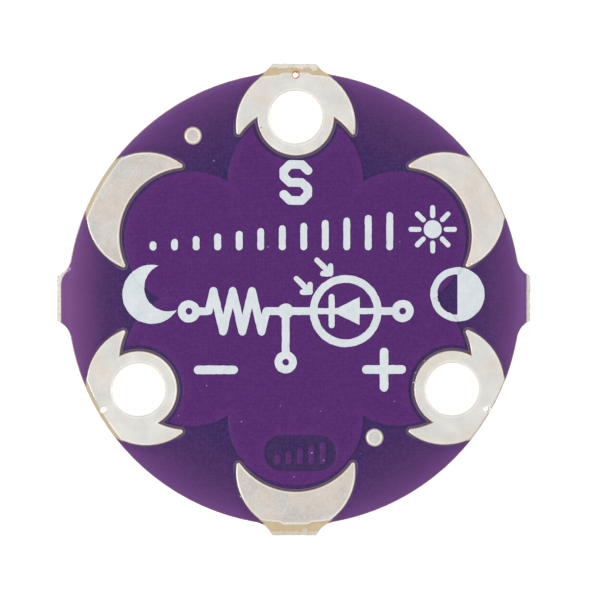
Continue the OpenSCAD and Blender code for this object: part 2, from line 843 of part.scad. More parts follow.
module sensor_solder() color([0.76, 0.77, 0.78]) solder(sensor_l, sensor_w, sensor_climb);
module resistor_solder() color([0.76, 0.77, 0.78]) solder(resistor_l, resistor_w, resistor_climb);

module solder_sensor_signal() seat() mirror([1, 0, 0]) sensor_solder();
module solder_sensor_plus() seat() sensor_solder();
module solder_resistor_signal() seat_resistor() resistor_solder();
module solder_resistor_minus() seat_resistor() mirror([1, 0, 0]) resistor_solder();

substrate();
signal_net();
minus_net();
plus_net();
back_petal_upper_left();
back_petal_bottom();
back_petal_upper_right();
front_petal_upper_left();
front_petal_bottom();
front_petal_upper_right();
back_flower();
front_flower();
back_etched_bars();
back_dot_high();
back_dot_low();
front_dot_high();
front_dot_low();
back_mask();
front_mask();
back_print();
front_print();
sensor_carrier();
sensor_contact_signal();
sensor_contact_plus();
sensor_die();
sensor_bond_wire();
sensor_lens();
resistor_body();
resistor_cap_signal();
resistor_cap_minus();
resistor_overcoat();
solder_sensor_signal();
solder_sensor_plus();
solder_resistor_signal();
solder_resistor_minus();
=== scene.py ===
# %% [markdown]
# A sewable light sensor board, dressed in Blender.
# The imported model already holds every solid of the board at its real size: the laminate, the copper,
# the solder mask, the ink and the components. This lesson gives them their finish, and adds what is
# too fine for the solids: bright rims on the plated copper, ragged edges on the ink, fibres and dust.
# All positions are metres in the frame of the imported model. Sizes are written in millimetres and
# turned into metres where they are used.

import json
import math

import bmesh
import bpy
from mathutils import Matrix, Vector
from mathutils.bvhtree import BVHTree


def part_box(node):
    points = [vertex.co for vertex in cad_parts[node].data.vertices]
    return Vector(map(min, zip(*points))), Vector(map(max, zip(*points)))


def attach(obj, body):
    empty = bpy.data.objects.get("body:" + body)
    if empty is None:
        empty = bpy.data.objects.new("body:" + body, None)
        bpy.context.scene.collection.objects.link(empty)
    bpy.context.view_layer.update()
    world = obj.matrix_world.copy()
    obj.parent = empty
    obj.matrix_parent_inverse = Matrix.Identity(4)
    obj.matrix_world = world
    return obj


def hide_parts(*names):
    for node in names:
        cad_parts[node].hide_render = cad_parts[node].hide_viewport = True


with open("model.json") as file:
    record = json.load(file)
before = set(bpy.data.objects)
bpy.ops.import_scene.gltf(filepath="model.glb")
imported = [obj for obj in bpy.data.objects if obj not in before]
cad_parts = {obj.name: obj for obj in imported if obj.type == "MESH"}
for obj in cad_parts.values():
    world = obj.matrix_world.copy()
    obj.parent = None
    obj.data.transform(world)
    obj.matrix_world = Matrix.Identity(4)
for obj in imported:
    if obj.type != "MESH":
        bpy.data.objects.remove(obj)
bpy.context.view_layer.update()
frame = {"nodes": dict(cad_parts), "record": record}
nodes = frame["nodes"]
MM = 0.001
print("nodes in the frame:", len(nodes))

# %% [markdown]
# Many finishes depend on where a point lies on the board, such as on the copper flower or beside a
# pad. The outline of the real artwork is made of arcs, so a few radii describe all of it. Each arc has
# its radius, and the distance of its middle from the middle of the board. The shader groups below read
# them as plain numbers.

# %% Sizes of the board's artwork, in millimetres
mounts = {mount["name"]: mount for mount in frame["record"]["mounts"]}
PATTERN_SHIFT, SEW_Y = (metres / MM for metres in mounts["sew_hole_signal"]["pos_m"][:2])
SEW_HOLE_R = mounts["sew_hole_signal"]["dims"]["r_mm"]
BOARD_R = 10.0
RING_R, RING_GAP = 1.69, 0.27
PETAL_R, PETAL_Y = 2.635, 7.615
HOLLOW_R, HOLLOW_Y = 3.04, 5.48
LOBE_R, LOBE_Y = 2.97, 5.26
TIP_R = 0.09
board_low, board_high = (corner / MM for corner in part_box("substrate"))
print("sewing hole", round(SEW_Y, 3), "mm from the middle, laminate from", tuple(board_low))

# %% [markdown]
# Blender shades in linear light, while colours read off a picture are in sRGB. One small function
# turns the familiar 0 to 255 values into linear ones, so that every colour below can be written as a
# maker would mix it.

# %% Colours
def colour(red, green, blue):
    def linear(value):
        value /= 255
        return value / 12.92 if value <= 0.04045 else ((value + 0.055) / 1.055) ** 2.4
    return (linear(red), linear(green), linear(blue), 1.0)


print("middle grey is", round(colour(128, 128, 128)[0], 3), "in linear light")

# %% [markdown]
# Node trees read best as formulas. A wire stands for the output of a node, and plain arithmetic on
# wires adds the nodes that do the sum. The other helpers add one node each, feed it with numbers or
# with wires, and hand back its output, so a line of code below is one step of a formula.

# %% Helpers for node trees
class Wire:
    """The output of a node. Arithmetic on it adds the node that does the sum."""

    def __init__(self, socket):
        self.socket = socket
        self.tree = socket.id_data

    def __add__(self, other):
        return calc("ADD", self, other)

    def __sub__(self, other):
        return calc("SUBTRACT", self, other)

    def __rsub__(self, other):
        return calc("SUBTRACT", other, self)

    def __mul__(self, other):
        return calc("MULTIPLY", self, other)

    def __truediv__(self, other):
        return calc("DIVIDE", self, other)

    def __abs__(self):
        return calc("ABSOLUTE", self)


def feed(socket, value):
    """Joins a wire to an input, or sets the input to a plain value."""
    if isinstance(value, Wire):
        value.tree.links.new(value.socket, socket)
    else:
        socket.default_value = value


def add(tree, kind, inputs=(), out=None, **settings):
    """Adds a node and hands back the node itself, or the wire of the output that out names."""
    node = tree.nodes.new(kind)
    for name, value in settings.items():
        setattr(node, name, value)
    for name, value in dict(inputs).items():
        feed(node.inputs[name], value)
    return node if out is None else Wire(node.outputs[out])


def calc(operation, *values):
    tree = next(value.tree for value in values if isinstance(value, Wire))
    return add(tree, "ShaderNodeMath", dict(enumerate(values)), out=0, operation=operation)


def larger(one, other):
    return calc("MAXIMUM", one, other)


def smaller(one, other):
    return calc("MINIMUM", one, other)


def vector(operation, *values):
    out = "Value" if operation == "DOT_PRODUCT" else "Vector"
    return add(values[0].tree, "ShaderNodeVectorMath", dict(enumerate(values)), out, operation=operation)


def scaled(arrow, factor):
    return add(arrow.tree, "ShaderNodeVectorMath", {0: arrow, "Scale": factor}, "Vector",
               operation="SCALE")


def split(place):
    """The x, y and z of a place or a direction."""
    return [Wire(part) for part in add(place.tree, "ShaderNodeSeparateXYZ", {"Vector": place}).outputs]


def fade(value, start, end):
    """0 at start and 1 at end, smoothly between them."""
    return add(value.tree, "ShaderNodeMapRange", {"Value": value, "From Min": start, "From Max": end},
               "Result", interpolation_type="SMOOTHSTEP")


def band(value, start, full, until, end):
    """1 from full to until, and smoothly down to 0 at start and at end."""
    return fade(value, start, full) * fade(value, end, until)


def choose(factor, first, second):
    """The first number where the factor is 0, the second where it is 1."""
    return add(factor.tree, "ShaderNodeMix", {0: factor, 2: first, 3: second}, out=0)


def blend(factor, first, second):
    """The first colour where the factor is 0, the second where it is 1."""
    return add(factor.tree, "ShaderNodeMix", {0: factor, 6: first, 7: second}, out=2, data_type="RGBA")


def noise(place, scale, detail=3.0, roughness=0.55, out="Fac"):
    return add(place.tree, "ShaderNodeTexNoise", {"Vector": place, "Scale": scale, "Detail": detail,
                                                  "Roughness": roughness}, out)


def new_group(name, inputs, outputs, kind="ShaderNodeTree"):
    """A new tree, the wires of its inputs, and the sockets that its outputs are fed to."""
    tree = bpy.data.node_groups.new(name, kind)
    for direction, sockets in (("INPUT", inputs), ("OUTPUT", outputs)):
        for label, socket_type in sockets.items():
            tree.interface.new_socket(label, in_out=direction, socket_type=socket_type)
    given = {socket.name: Wire(socket) for socket in add(tree, "NodeGroupInput").outputs}
    print("node group:", name)
    return tree, given, add(tree, "NodeGroupOutput").inputs


# %% [markdown]
# A shader node group is a formula with a name. Each group here has named inputs and outputs and is
# placed in every material that needs it. The first one answers the question where on the board a
# point lies. It folds the plane into one sixth, because petals and lobes repeat every 60 degrees, and
# into one third for the sewing rings, and then measures distances to arcs. A distance is better than
# a painted mask: it stays sharp at any zoom, and a soft edge costs one more node.

# %% Shader group: where on the board
VALUE = "NodeSocketFloat"
PLACE = "NodeSocketVector"


def folded(radius, angle, turn):
    """The plane folded into one spoke of the given width, as its x and y."""
    inside = calc("WRAP", angle, turn / 2, -turn / 2)
    return abs(radius * calc("SINE", inside)), radius * calc("COSINE", inside)


def to_point(across, along, point_across=0.0, point_along=0.0):
    """Distance from a point, or from the middle."""
    aside, ahead = across - point_across, along - point_along
    return calc("SQRT", ahead * ahead + aside * aside)


def petal_tip():
    """Middle of the round at a petal's tip, and the direction in which the tip points."""
    outer, hollow = PETAL_R - TIP_R, HOLLOW_R + TIP_R
    along = (outer ** 2 - hollow ** 2 + HOLLOW_Y ** 2 - PETAL_Y ** 2) / (2 * (HOLLOW_Y - PETAL_Y))
    middle = Vector((math.sqrt(outer ** 2 - (along - PETAL_Y) ** 2), along))
    from_outer = (middle - Vector((0, PETAL_Y))).normalized()
    from_hollow = (middle - Vector((0, HOLLOW_Y))).normalized()
    return middle, (from_outer - from_hollow).normalized()


def make_artwork_group():
    tree, given, result = new_group("artwork distances", {"Place": PLACE}, {
        "Radius": VALUE, "Flower": VALUE, "Pad": VALUE, "Hole": VALUE})
    x, y = split(vector("SUBTRACT", given["Place"], (PATTERN_SHIFT, 0, 0)))[:2]
    radius, angle = to_point(x, y), calc("ARCTAN2", x, y)
    sixth = folded(radius, angle, math.radians(60))
    third = folded(radius, angle, math.radians(120))
    hole = to_point(*third, 0, SEW_Y)
    lobe = to_point(*sixth, 0, LOBE_Y) - LOBE_R
    flower = larger(smaller(lobe, radius - LOBE_Y), RING_R + RING_GAP - hole)
    outer = to_point(*sixth, 0, PETAL_Y) - PETAL_R
    hollow = HOLLOW_R - to_point(*sixth, 0, HOLLOW_Y)
    tip, pointing = petal_tip()
    past = sixth[0] * pointing.x + sixth[1] * pointing.y - tip.dot(pointing)
    rounded = to_point(*sixth, tip.x, tip.y) - TIP_R
    petal = choose(calc("GREATER_THAN", past, 0.0), larger(outer, hollow), rounded)
    feed(result["Radius"], radius)
    feed(result["Flower"], flower)
    feed(result["Pad"], smaller(petal, hole - RING_R))
    feed(result["Hole"], hole - SEW_HOLE_R)
    return tree


ARTWORK = make_artwork_group()

# %% [markdown]
# The back flower has a rounded window etched out of its bottom lobe, with five bars left standing in
# it. The bars repeat at one pitch, so the group finds the nearest bar by rounding, works out how tall
# that bar is, and measures the distance to it.

# %% Shader group: the etched window
WINDOW_AT = (0.2, -6.81)
WINDOW_L, WINDOW_H = 3.2, 1.6
BARS, BAR_PITCH = 5, 0.5
BAR_W, BAR_LOW, BAR_HIGH = 0.22, 0.42, 0.98


def make_window_group():
    tree, given, result = new_group("etched window", {"Place": PLACE, "Flower": VALUE},
                                    {"Copper": VALUE})
    centre = (WINDOW_AT[0] + PATTERN_SHIFT, WINDOW_AT[1], 0)
    x, y = split(vector("SUBTRACT", given["Place"], centre))[:2]
    beyond = larger(abs(x) - (WINDOW_L - WINDOW_H) / 2, 0.0)
    window = to_point(beyond, y) - WINDOW_H / 2
    middle_bar = (BARS - 1) / 2
    bar = smaller(larger(calc("ROUND", x / BAR_PITCH + middle_bar), 0.0), BARS - 1.0)
    step = (BAR_HIGH - BAR_LOW) / (BARS - 1)
    half = (bar * step + (BAR_LOW - BAR_W)) * 0.5
    bar_x, bar_y = (bar - middle_bar) * BAR_PITCH, half + (BAR_W - BAR_HIGH) / 2
    above = larger(abs(y - bar_y) - half, 0.0)
    to_bar = to_point(x, above, bar_x) - BAR_W / 2
    feed(result["Copper"], smaller(larger(given["Flower"], window * -1.0), to_bar))
    return tree


WINDOW = make_window_group()

# %% [markdown]
# Glass-epoxy laminate is woven glass cloth in resin. Its threads cross at a fixed pitch and pass over
# and under each other. Two rows of rounded ridges, chosen in turn by a chequer, give that weave. It
# shows plainly on bare laminate and faintly through the mask.

# %% Shader group: woven glass
THREADS_WANDER = (0.12, 0.12, 0.0)


def make_weave_group():
    tree, given, result = new_group("woven glass", {"Place": PLACE, "Pitch": VALUE},
                                    {"Height": VALUE, "Tone": VALUE})
    wander = noise(given["Place"], scale=0.9, detail=1.0, roughness=0.5, out="Color")
    bent = vector("ADD", given["Place"], vector("MULTIPLY", wander, THREADS_WANDER))
    turns = [part / given["Pitch"] for part in split(bent)[:2]]
    ridges = [abs(calc("SINE", turn * math.pi)) for turn in turns]
    steps = [calc("FLOOR", turn) for turn in turns]
    ridge = choose(calc("FLOORED_MODULO", steps[0] + steps[1], 2.0), *ridges)
    feed(result["Height"], ridge)
    feed(result["Tone"], ridge * noise(given["Place"], scale=6.0))
    return tree


WEAVE = make_weave_group()

# %% [markdown]
# Real surfaces are never even. This group gives four things that most finishes need: a cloudy mottle,
# a fine grain, thin scratches that run in two directions, and pinpoint specks. Specks are the middles
# of random cells, kept only where the cell's own random number is high.

# %% Shader group: wear
GRAIN_FINER = 9.0
SCRATCH_TURNS = (35, -52)
SCRATCH_STRETCH = (12.0, 0.8, 1.0)
SPECK_SHARE = 0.1


def make_wear_group():
    tree, given, result = new_group(
        "surface wear", {"Place": PLACE, "Mottle Scale": VALUE, "Speck Scale": VALUE},
        {"Mottle": VALUE, "Grain": VALUE, "Scratch": VALUE, "Speck": VALUE})
    place, scale = given["Place"], given["Mottle Scale"]
    feed(result["Mottle"], fade(noise(place, scale, detail=4.0, roughness=0.6), 0.3, 0.7))
    feed(result["Grain"], noise(place, scale * GRAIN_FINER, detail=2.0))
    lines = []
    for turn in SCRATCH_TURNS:
        turned = add(tree, "ShaderNodeVectorRotate", {"Vector": place, "Angle": math.radians(turn)},
                     "Vector", rotation_type="Z_AXIS")
        thin = vector("MULTIPLY", turned, SCRATCH_STRETCH)
        lines.append(fade(noise(thin, scale=1.0, detail=1.0), 0.66, 0.76))
    feed(result["Scratch"], larger(*lines))
    cells = add(tree, "ShaderNodeTexVoronoi", {"Vector": place, "Scale": given["Speck Scale"]})
    chance = add(tree, "ShaderNodeSeparateColor", {"Color": Wire(cells.outputs["Color"])}, "Red")
    chosen = calc("GREATER_THAN", chance, 1 - SPECK_SHARE)
    feed(result["Speck"], fade(Wire(cells.outputs["Distance"]), 0.08, 0.03) * chosen)
    return tree


WEAR = make_wear_group()

# %% [markdown]
# Each finish is one function that builds one material. All of them start the same way: a Principled
# shader, and the point's own place in millimetres from its Object coordinates. Object coordinates
# keep the pattern fixed to the board, whatever the camera does. A finish is then built up as a maker
# would do it, in coats. Each coat has a mask that says where it lies, a strength and a colour.

# %% A finish to start from
FINISHES = {}


def start_finish(name, roughness, metallic=0.0, specular=0.5):
    material = FINISHES[name] = bpy.data.materials.new(name)
    material.use_nodes = True
    tree = material.node_tree
    tree.nodes.clear()
    shader = add(tree, "ShaderNodeBsdfPrincipled", {
        "Metallic": metallic, "Specular IOR Level": specular, "Roughness": roughness})
    add(tree, "ShaderNodeOutputMaterial", {"Surface": Wire(shader.outputs["BSDF"])})
    place = add(tree, "ShaderNodeTexCoord", out="Object")
    print("finish:", name)
    return shader, scaled(place, 1 / MM)


def use_group(group, place, **inputs):
    """Places a group, with its inputs by name, and hands back the wires of its outputs."""
    node = add(place.tree, "ShaderNodeGroup", node_tree=group)
    for name, value in {"place": place, **inputs}.items():
        feed(node.inputs[name.replace("_", " ").title()], value)
    return {socket.name: Wire(socket) for socket in node.outputs}


def coat(base, *coats):
    """Lays coats over the base, each given as its mask, its strength and its colour."""
    for mask, strength, tone in coats:
        base = blend(mask if strength == 1 else mask * strength, base, tone)
    return base


def paint(shader, base, relief, depth, roughness=None):
    """Joins the colour, the relief with its depth in millimetres, and the roughness to the shader."""
    feed(shader.inputs["Base Color"], base)
    bump = add(base.tree, "ShaderNodeBump", {"Height": relief, "Distance": depth * MM}, "Normal")
    feed(shader.inputs["Normal"], bump)
    if roughness is not None:
        feed(shader.inputs["Roughness"], roughness)


def beside_flower(art):
    """1 in the moat between flower and pads, and 0 further out."""
    return fade(art["Flower"], 0.8, 0.45)


def facing_up(place):
    """1 where the surface lies flat, face up or face down, and 0 where it stands upright."""
    return abs(split(add(place.tree, "ShaderNodeNewGeometry", out="Normal"))[2])


# %% [markdown]
# The purple mask is a thin translucent lacquer. Over laminate it looks blue and dark, and brightens
# towards the board's edge, where light enters the laminate from the side. A ramp over the distance
# from the middle holds those tones. The satin surface lays a faint white sheen over every colour, so
# the lacquer's own colour is mixed a little deeper than it looks.

# %% Colours of the lacquer
SHEEN = 0.018


def lacquer(red, green, blue):
    return (*(max(value - SHEEN, 0) for value in colour(red, green, blue)[:3]), 1.0)


RAMP_END = 10.5
LACQUER_BY_RADIUS = {
    5.5: lacquer(55, 44, 89), 6.6: lacquer(58, 46, 92), 7.5: lacquer(67, 48, 94),
    8.3: lacquer(76, 51, 98), 8.9: lacquer(87, 57, 106), 9.4: lacquer(98, 63, 117),
    9.75: lacquer(108, 71, 127), 10.1: lacquer(122, 81, 138)}


def over_laminate(radius):
    ramp = add(radius.tree, "ShaderNodeValToRGB", {"Fac": radius / RAMP_END})
    elements = ramp.color_ramp.elements
    while len(elements) < len(LACQUER_BY_RADIUS):
        elements.new(0.5)
    for element, (position, tone) in zip(elements, LACQUER_BY_RADIUS.items()):
        element.position = position / RAMP_END
        element.color = tone
    return Wire(ramp.outputs["Color"])


MASK_THREADS = 0.17


def lacquer_marks(base, place):
    """The marks that both masks share: cloth below, cloudy spots, grain and dust in the lacquer."""
    weave = use_group(WEAVE, place, pitch=MASK_THREADS)
    wear = use_group(WEAR, place, mottle_scale=0.9, speck_scale=1.7)
    marked = coat(base,
                  (fade(weave["Tone"], 0.1, 0.5), 0.09, lacquer(114, 76, 142)),
                  (wear["Mottle"], 0.07, lacquer(60, 38, 84)),
                  (fade(wear["Grain"], 0.35, 0.7), 0.19, lacquer(116, 78, 142)),
                  (wear["Speck"], 0.6, colour(176, 166, 205)))
    return marked, weave, wear


def satin(grain):
    return grain * 0.16 + 0.32


print("tones of the lacquer:", len(LACQUER_BY_RADIUS))

# %% [markdown]
# The lacquer is brittle. The router left a thin bare line along the edge, and scoring and snapping the
# tabs left wider ones, most of all at the right tab. At the left tab a chip is missing, with a pale
# lavender painted highlight on its edge. A noise added to each distance makes these borders ragged.
# Just inside the round edge a lighter violet band is painted, strongest at the top: a painted glow
# where the edge catches the light.

# %% Worn border of the back mask, with a painted edge glow
BARE_HALF_W = 1.45
TAB_REACH, SCORE_W = 0.44, 0.13
SCORED_AT = BOARD_R + TAB_REACH - SCORE_W
CHIP_AT, CHIP_R, CHIP_TOP = (-9.65, 0.69), 0.62, 1.30
CHIP_EDGE_HIGHLIGHT_AT, CHIP_EDGE_HIGHLIGHT_R = (-9.94, 1.33), 0.11


def worn_border_and_edge_glow(base, place):
    """Lays the worn border and the painted edge glow over the base. Also returns where the lacquer is
    gone, and where the chip's edge highlight is painted.
    """
    x, y = split(place)[:2]
    out = to_point(x, y)
    ragged = noise(place, scale=7.0, roughness=0.65) * 0.05 - 0.025
    off_tabs = fade(smaller(abs(x), abs(y)), BARE_HALF_W, BARE_HALF_W + 0.25)
    # Painted light: a lighter violet band just inside the edge, strongest at the top, where the edge
    # glows.
    rim_band = fade(out, BOARD_R - 0.3, BOARD_R - 0.06) * fade(y, -6.0, 4.0)
    routed = fade(out + ragged, BOARD_R - 0.04, BOARD_R - 0.01) * off_tabs
    scored = fade(abs(x) + ragged, SCORED_AT - 0.04, SCORED_AT - 0.015)
    border = larger(routed, scored) * 0.72
    sheared = fade(x + ragged, SCORED_AT - 0.07, SCORED_AT - 0.03)
    chip = fade(to_point(x, y, *CHIP_AT) + ragged, CHIP_R - 0.01, CHIP_R + 0.03)
    chip = chip * fade(x, CHIP_AT[0] - 0.15, CHIP_AT[0] - 0.25)
    chip = chip * band(y, CHIP_AT[1], CHIP_AT[1] + 0.1, CHIP_TOP - 0.1, CHIP_TOP)
    # Painted highlight: a pale lavender spot on the edge of the chip.
    chip_edge_highlight = fade(to_point(x, y, *CHIP_EDGE_HIGHLIGHT_AT), CHIP_EDGE_HIGHLIGHT_R, 0.03) * 0.85
    worn = coat(base,
                (rim_band, 0.25, lacquer(133, 104, 163)),
                (border, 1, colour(196, 150, 128)),
                (sheared, 0.85, colour(216, 204, 198)),
                (chip, 0.95, colour(222, 218, 208)),
                (chip_edge_highlight, 1, colour(196, 164, 214)))
    return worn, larger(chip, larger(larger(border, sheared), chip_edge_highlight))


print("bare border starts", round(SCORED_AT, 2), "mm out at the tabs")

# %% [markdown]
# Over copper the back mask looks redder, because warm metal shines through. In the narrow moat between
# two areas of copper no light comes in, and it is darkest. Along the openings around the pads it thins
# out, and a faint pale line is painted there: partly the thinner lacquer, partly a painted highlight
# where its edge catches the light. The relief of the copper below is softened by the lacquer, so its
# step is drawn as a smooth bump over a tenth of a millimetre. Beside a pad the mask is drawn as dark
# as it is a little further in. Both sides of the board are lit through their edges, the left more.

# %% Finish: back mask
DRAWN_IN_BESIDE_PADS = 0.35
LIT_LEFT, LIT_RIGHT = 0.65, 0.1


def make_back_mask_finish():
    shader, place = start_finish("purple_lacquer", 0.4, specular=0.22)
    art = use_group(ARTWORK, place)
    pad, flower, radius = art["Pad"], art["Flower"], art["Radius"]
    copper = use_group(WINDOW, place, flower=flower)["Copper"]
    x = split(place)[0]
    # Beside a pad the radius that picks the tone is drawn in, so the mask there is as dark as a little
    # further in.
    darker_beside_pads = fade(pad, 0.5, 0.05) * -DRAWN_IN_BESIDE_PADS
    lit = choose(calc("LESS_THAN", x, 0.0), LIT_RIGHT, LIT_LEFT)
    shut_in = fade(flower + pad, 0.8, 0.3)
    cold = coat(over_laminate(radius + darker_beside_pads),
                (fade(abs(x), 8.2, 10.6) * lit, 1, lacquer(140, 90, 142)),
                (shut_in, 0.8, lacquer(60, 51, 88)))
    rim = fade(copper, -0.45, 0.0) * fade(radius, 4.8, 5.8)
    warm = blend(rim, lacquer(88, 47, 111), lacquer(94, 51, 115))
    # Painted highlight: a faint pale line along the pad openings, partly the thinner lacquer and partly
    # its edge catching the light.
    pale_line = band(pad, 0.055, 0.085, 0.095, 0.135) * (beside_flower(art) * 0.4 + 0.05)
    base = coat(cold,
                (fade(copper, 0.05, -0.03), 1, warm),
                (pale_line, 1, lacquer(154, 138, 174)))
    base, bare = worn_border_and_edge_glow(base, place)
    marked, weave, wear = lacquer_marks(base, place)
    step = fade(copper, 0.08, -0.06)
    relief = step + weave["Height"] * 0.10 + wear["Grain"] * 0.16
    paint(shader, blend(bare, marked, base), relief, depth=0.03, roughness=satin(wear["Grain"]))


make_back_mask_finish()

# %% [markdown]
# The tracks on the front follow no simple rule. There the mask's own height tells copper from
# laminate: it stands lower in z, which is further out on that side, wherever copper lies under it.

# %% Finish: front mask
COPPER_T = 0.035


def make_front_mask_finish():
    shader, place = start_finish("purple_lacquer_front", 0.4, specular=0.22)
    radius = use_group(ARTWORK, place)["Radius"]
    mask_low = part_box("front_mask")[0].z / MM
    raised = fade(split(place)[2], mask_low + 0.6 * COPPER_T, mask_low + 0.3 * COPPER_T)
    base = blend(raised, over_laminate(radius), lacquer(92, 51, 115))
    base, weave, wear = lacquer_marks(base, place)
    relief = weave["Height"] * 0.5 + wear["Grain"]
    paint(shader, base, relief, depth=0.004, roughness=satin(wear["Grain"]))


make_front_mask_finish()

# %% [markdown]
# The bare pads are copper under a thin pale plating. The plating is satin, slightly warm, and blotchy
# where the bath left it thicker, with hair-fine scratches from handling. Pads that are joined to a
# sewing hole plate paler than the plain petals. A painted highlight runs around each hole, where the
# plating rounds over its lip. Beside the flower a brown line runs along each pad, partly the etched
# copper edge and partly painted shade. The walls of the holes are painted near white, lighter than
# the plating itself, as painted light in the shade of the hole, and they turn coppery at their far lip.

# %% Finish: plated pads
FAR_LIP_H = 0.10
PAD_METAL = 0.85


def make_plating_finish(name, dark, light):
    shader, place = start_finish(name, 0.4, metallic=PAD_METAL)
    art = use_group(ARTWORK, place)
    wear = use_group(WEAR, place, mottle_scale=1.3, speck_scale=1.4)
    # Beside the flower a brown line is painted along each pad: partly the etched copper edge, partly
    # painted shade.
    etched = band(art["Pad"], -0.03, 0.0, 0.03, 0.06) * beside_flower(art)
    # Painted light: the walls of the holes are painted near white, lighter than the plating, against the
    # shade inside the hole.
    wall = fade(facing_up(place), 0.6, 0.3)
    far_lip = fade(split(place)[2], board_low.z + FAR_LIP_H, board_low.z)
    warm_patches = fade(noise(place, scale=0.45, detail=2.0), 0.42, 0.62)
    cool_patches = fade(noise(place, scale=0.8), 0.48, 0.66)
    # Painted highlight: a bright line around each hole, where the plating rounds over its lip.
    painted_lip_highlight, brink = fade(art["Hole"], 0.13, 0.08), fade(art["Hole"], 0.04, 0.02)
    base = coat(blend(wear["Mottle"], dark, light),
                (warm_patches, 0.5, colour(216, 202, 189)),
                (cool_patches, 0.5, colour(203, 206, 205)),
                (fade(wear["Grain"], 0.35, 0.7), 0.3, colour(229, 227, 222)),
                (wear["Scratch"], 0.2, colour(232, 229, 222)),
                (wear["Speck"], 0.7, colour(120, 108, 104)),
                (painted_lip_highlight, 0.45, colour(242, 239, 233)),
                (brink, 0.55, colour(202, 180, 160)),
                (etched, 0.7, colour(178, 132, 96)),
                (wall, 1, blend(far_lip, colour(246, 244, 240), colour(206, 180, 164))))
    feed(shader.inputs["Metallic"], wall * (1 - PAD_METAL) + PAD_METAL)
    relief = wear["Grain"] - wear["Scratch"] * 0.4
    paint(shader, base, relief, depth=0.003, roughness=wear["Mottle"] * 0.12 + 0.32)


# The rims' plating is mixed lighter than any pad's: a painted highlight on top of the light that their
# rounded shoulders catch.
PLATINGS = {"petal_plating": ((193, 186, 179), (202, 195, 189)),
            "right_plating": ((212, 206, 199), (220, 214, 207)),
            "pale_plating": ((215, 213, 208), (223, 221, 216)),
            "rim_plating_with_painted_highlight": ((226, 222, 214), (234, 231, 224))}
for name, (dark, light) in PLATINGS.items():
    make_plating_finish(name, colour(*dark), colour(*light))

# %% [markdown]
# Bare laminate is tan and slightly glassy. Its routed side shows the plies as thin lines. Beside the
# pads, in the narrow gap that the mask leaves, it lies in shade and looks brown. Where the board was
# scored and snapped out of its panel, the crushed glass is whitish, with chips that reach further in.
# Its steep score bevels are painted near white, and its ends are painted lighter at the right and the
# top than at the left and the bottom: painted light, set by how each face is lit.

# %% Finish: laminate
LAMINATE_THREADS = 0.35
PLY_T = 0.1
FOIL_R = 9.89


def ply_lines(place):
    stretched = vector("MULTIPLY", place, (2.0, 2.0, 16.0))
    layers = calc("SINE", split(place)[2] * (2 * math.pi / PLY_T))
    return layers * 0.25 + noise(stretched, scale=1.0)


def crushed_glass(place):
    """1 along the four snapped ends of the board, with chips reaching further in."""
    chips = fade(noise(place, scale=3.4, detail=4.0, roughness=0.7), 0.45, 0.75) * 0.35
    ends = []
    for value, low, high in zip(split(place)[:2], board_low, board_high):
        ends += [fade(reach - chips, 0.19, 0.09) for reach in (high - value, value - low)]
    return larger(larger(ends[0], ends[1]), larger(ends[2], ends[3]))


def make_laminate_finish():
    shader, place = start_finish("tan_laminate", 0.5, specular=0.35)
    art = use_group(ARTWORK, place)
    weave = use_group(WEAVE, place, pitch=LAMINATE_THREADS)
    wear = use_group(WEAR, place, mottle_scale=1.4, speck_scale=3.0)
    x, y = split(place)[:2]
    plies, crushed, flat = ply_lines(place), crushed_glass(place), facing_up(place)
    side = fade(flat, 0.7, 0.4)
    strip = blend(fade(x, -5.0, 5.0), colour(202, 187, 160), colour(214, 204, 190))
    cut_side = blend(fade(plies, 0.3, 0.75), colour(206, 196, 176), colour(240, 236, 226))
    # Painted light and shade: the crushed ends are lighter at the right and the top, darker at the left
    # and the bottom.
    sides = blend(fade(x, -8.0, 8.0), colour(212, 207, 201), colour(246, 241, 234))
    ends = blend(fade(y, -8.0, 8.0), colour(232, 220, 204), colour(240, 234, 227))
    in_gap = band(art["Pad"], -0.01, 0.01, 0.06, 0.09) * fade(art["Radius"], FOIL_R, FOIL_R - 0.06)
    shaded = blend(beside_flower(art), colour(112, 84, 96), colour(116, 82, 58))
    base = coat(blend(wear["Mottle"], colour(203, 183, 143), colour(212, 193, 154)),
                (weave["Tone"], 0.3, colour(220, 204, 173)),
                (fade(abs(x), BARE_HALF_W + 0.6, BARE_HALF_W + 1.6), 0.85, strip),
                (side, 1, cut_side),
                # Painted light: the steep score bevels are painted near white, against the shade on
                # their slope.
                (band(flat, 0.2, 0.4, 0.55, 0.7), 1, colour(252, 250, 246)),
                (crushed, 0.85, blend(fade(abs(x), 4.0, 2.0), sides, ends)),
                (in_gap, 0.9, shaded))
    relief = weave["Height"] + (plies + crushed) * larger(side, crushed)
    paint(shader, base, relief, depth=0.010, roughness=side * 0.2 + 0.45)


make_laminate_finish()

# %% [markdown]
# The ink is a matt white film with a cool cast. Screen printing leaves it a little thinner over the
# weave and pricked with tiny holes, through which the lacquer shows.

# %% Finish: ink
INK_THREADS = 0.21


def make_ink_finish():
    shader, place = start_finish("white_ink", 0.6, specular=0.3)
    weave = use_group(WEAVE, place, pitch=INK_THREADS)
    wear = use_group(WEAR, place, mottle_scale=2.4, speck_scale=5.0)
    base = coat(blend(wear["Mottle"], colour(219, 227, 232), colour(229, 235, 238)),
                (weave["Tone"], 0.3, colour(208, 216, 226)),
                (wear["Speck"], 0.35, colour(150, 140, 170)))
    paint(shader, base, weave["Height"] * 0.5 + wear["Grain"], depth=0.006)


make_ink_finish()

# %% [markdown]
# The parts on the front are small, and each is a material that anyone who solders knows: white fired
# ceramic, black glaze, matt tin, bright solder, gold flash, silicon and clear resin. One function
# builds the plain ones from two tones that a mottle mixes. The resin is glass with a trace of colour.

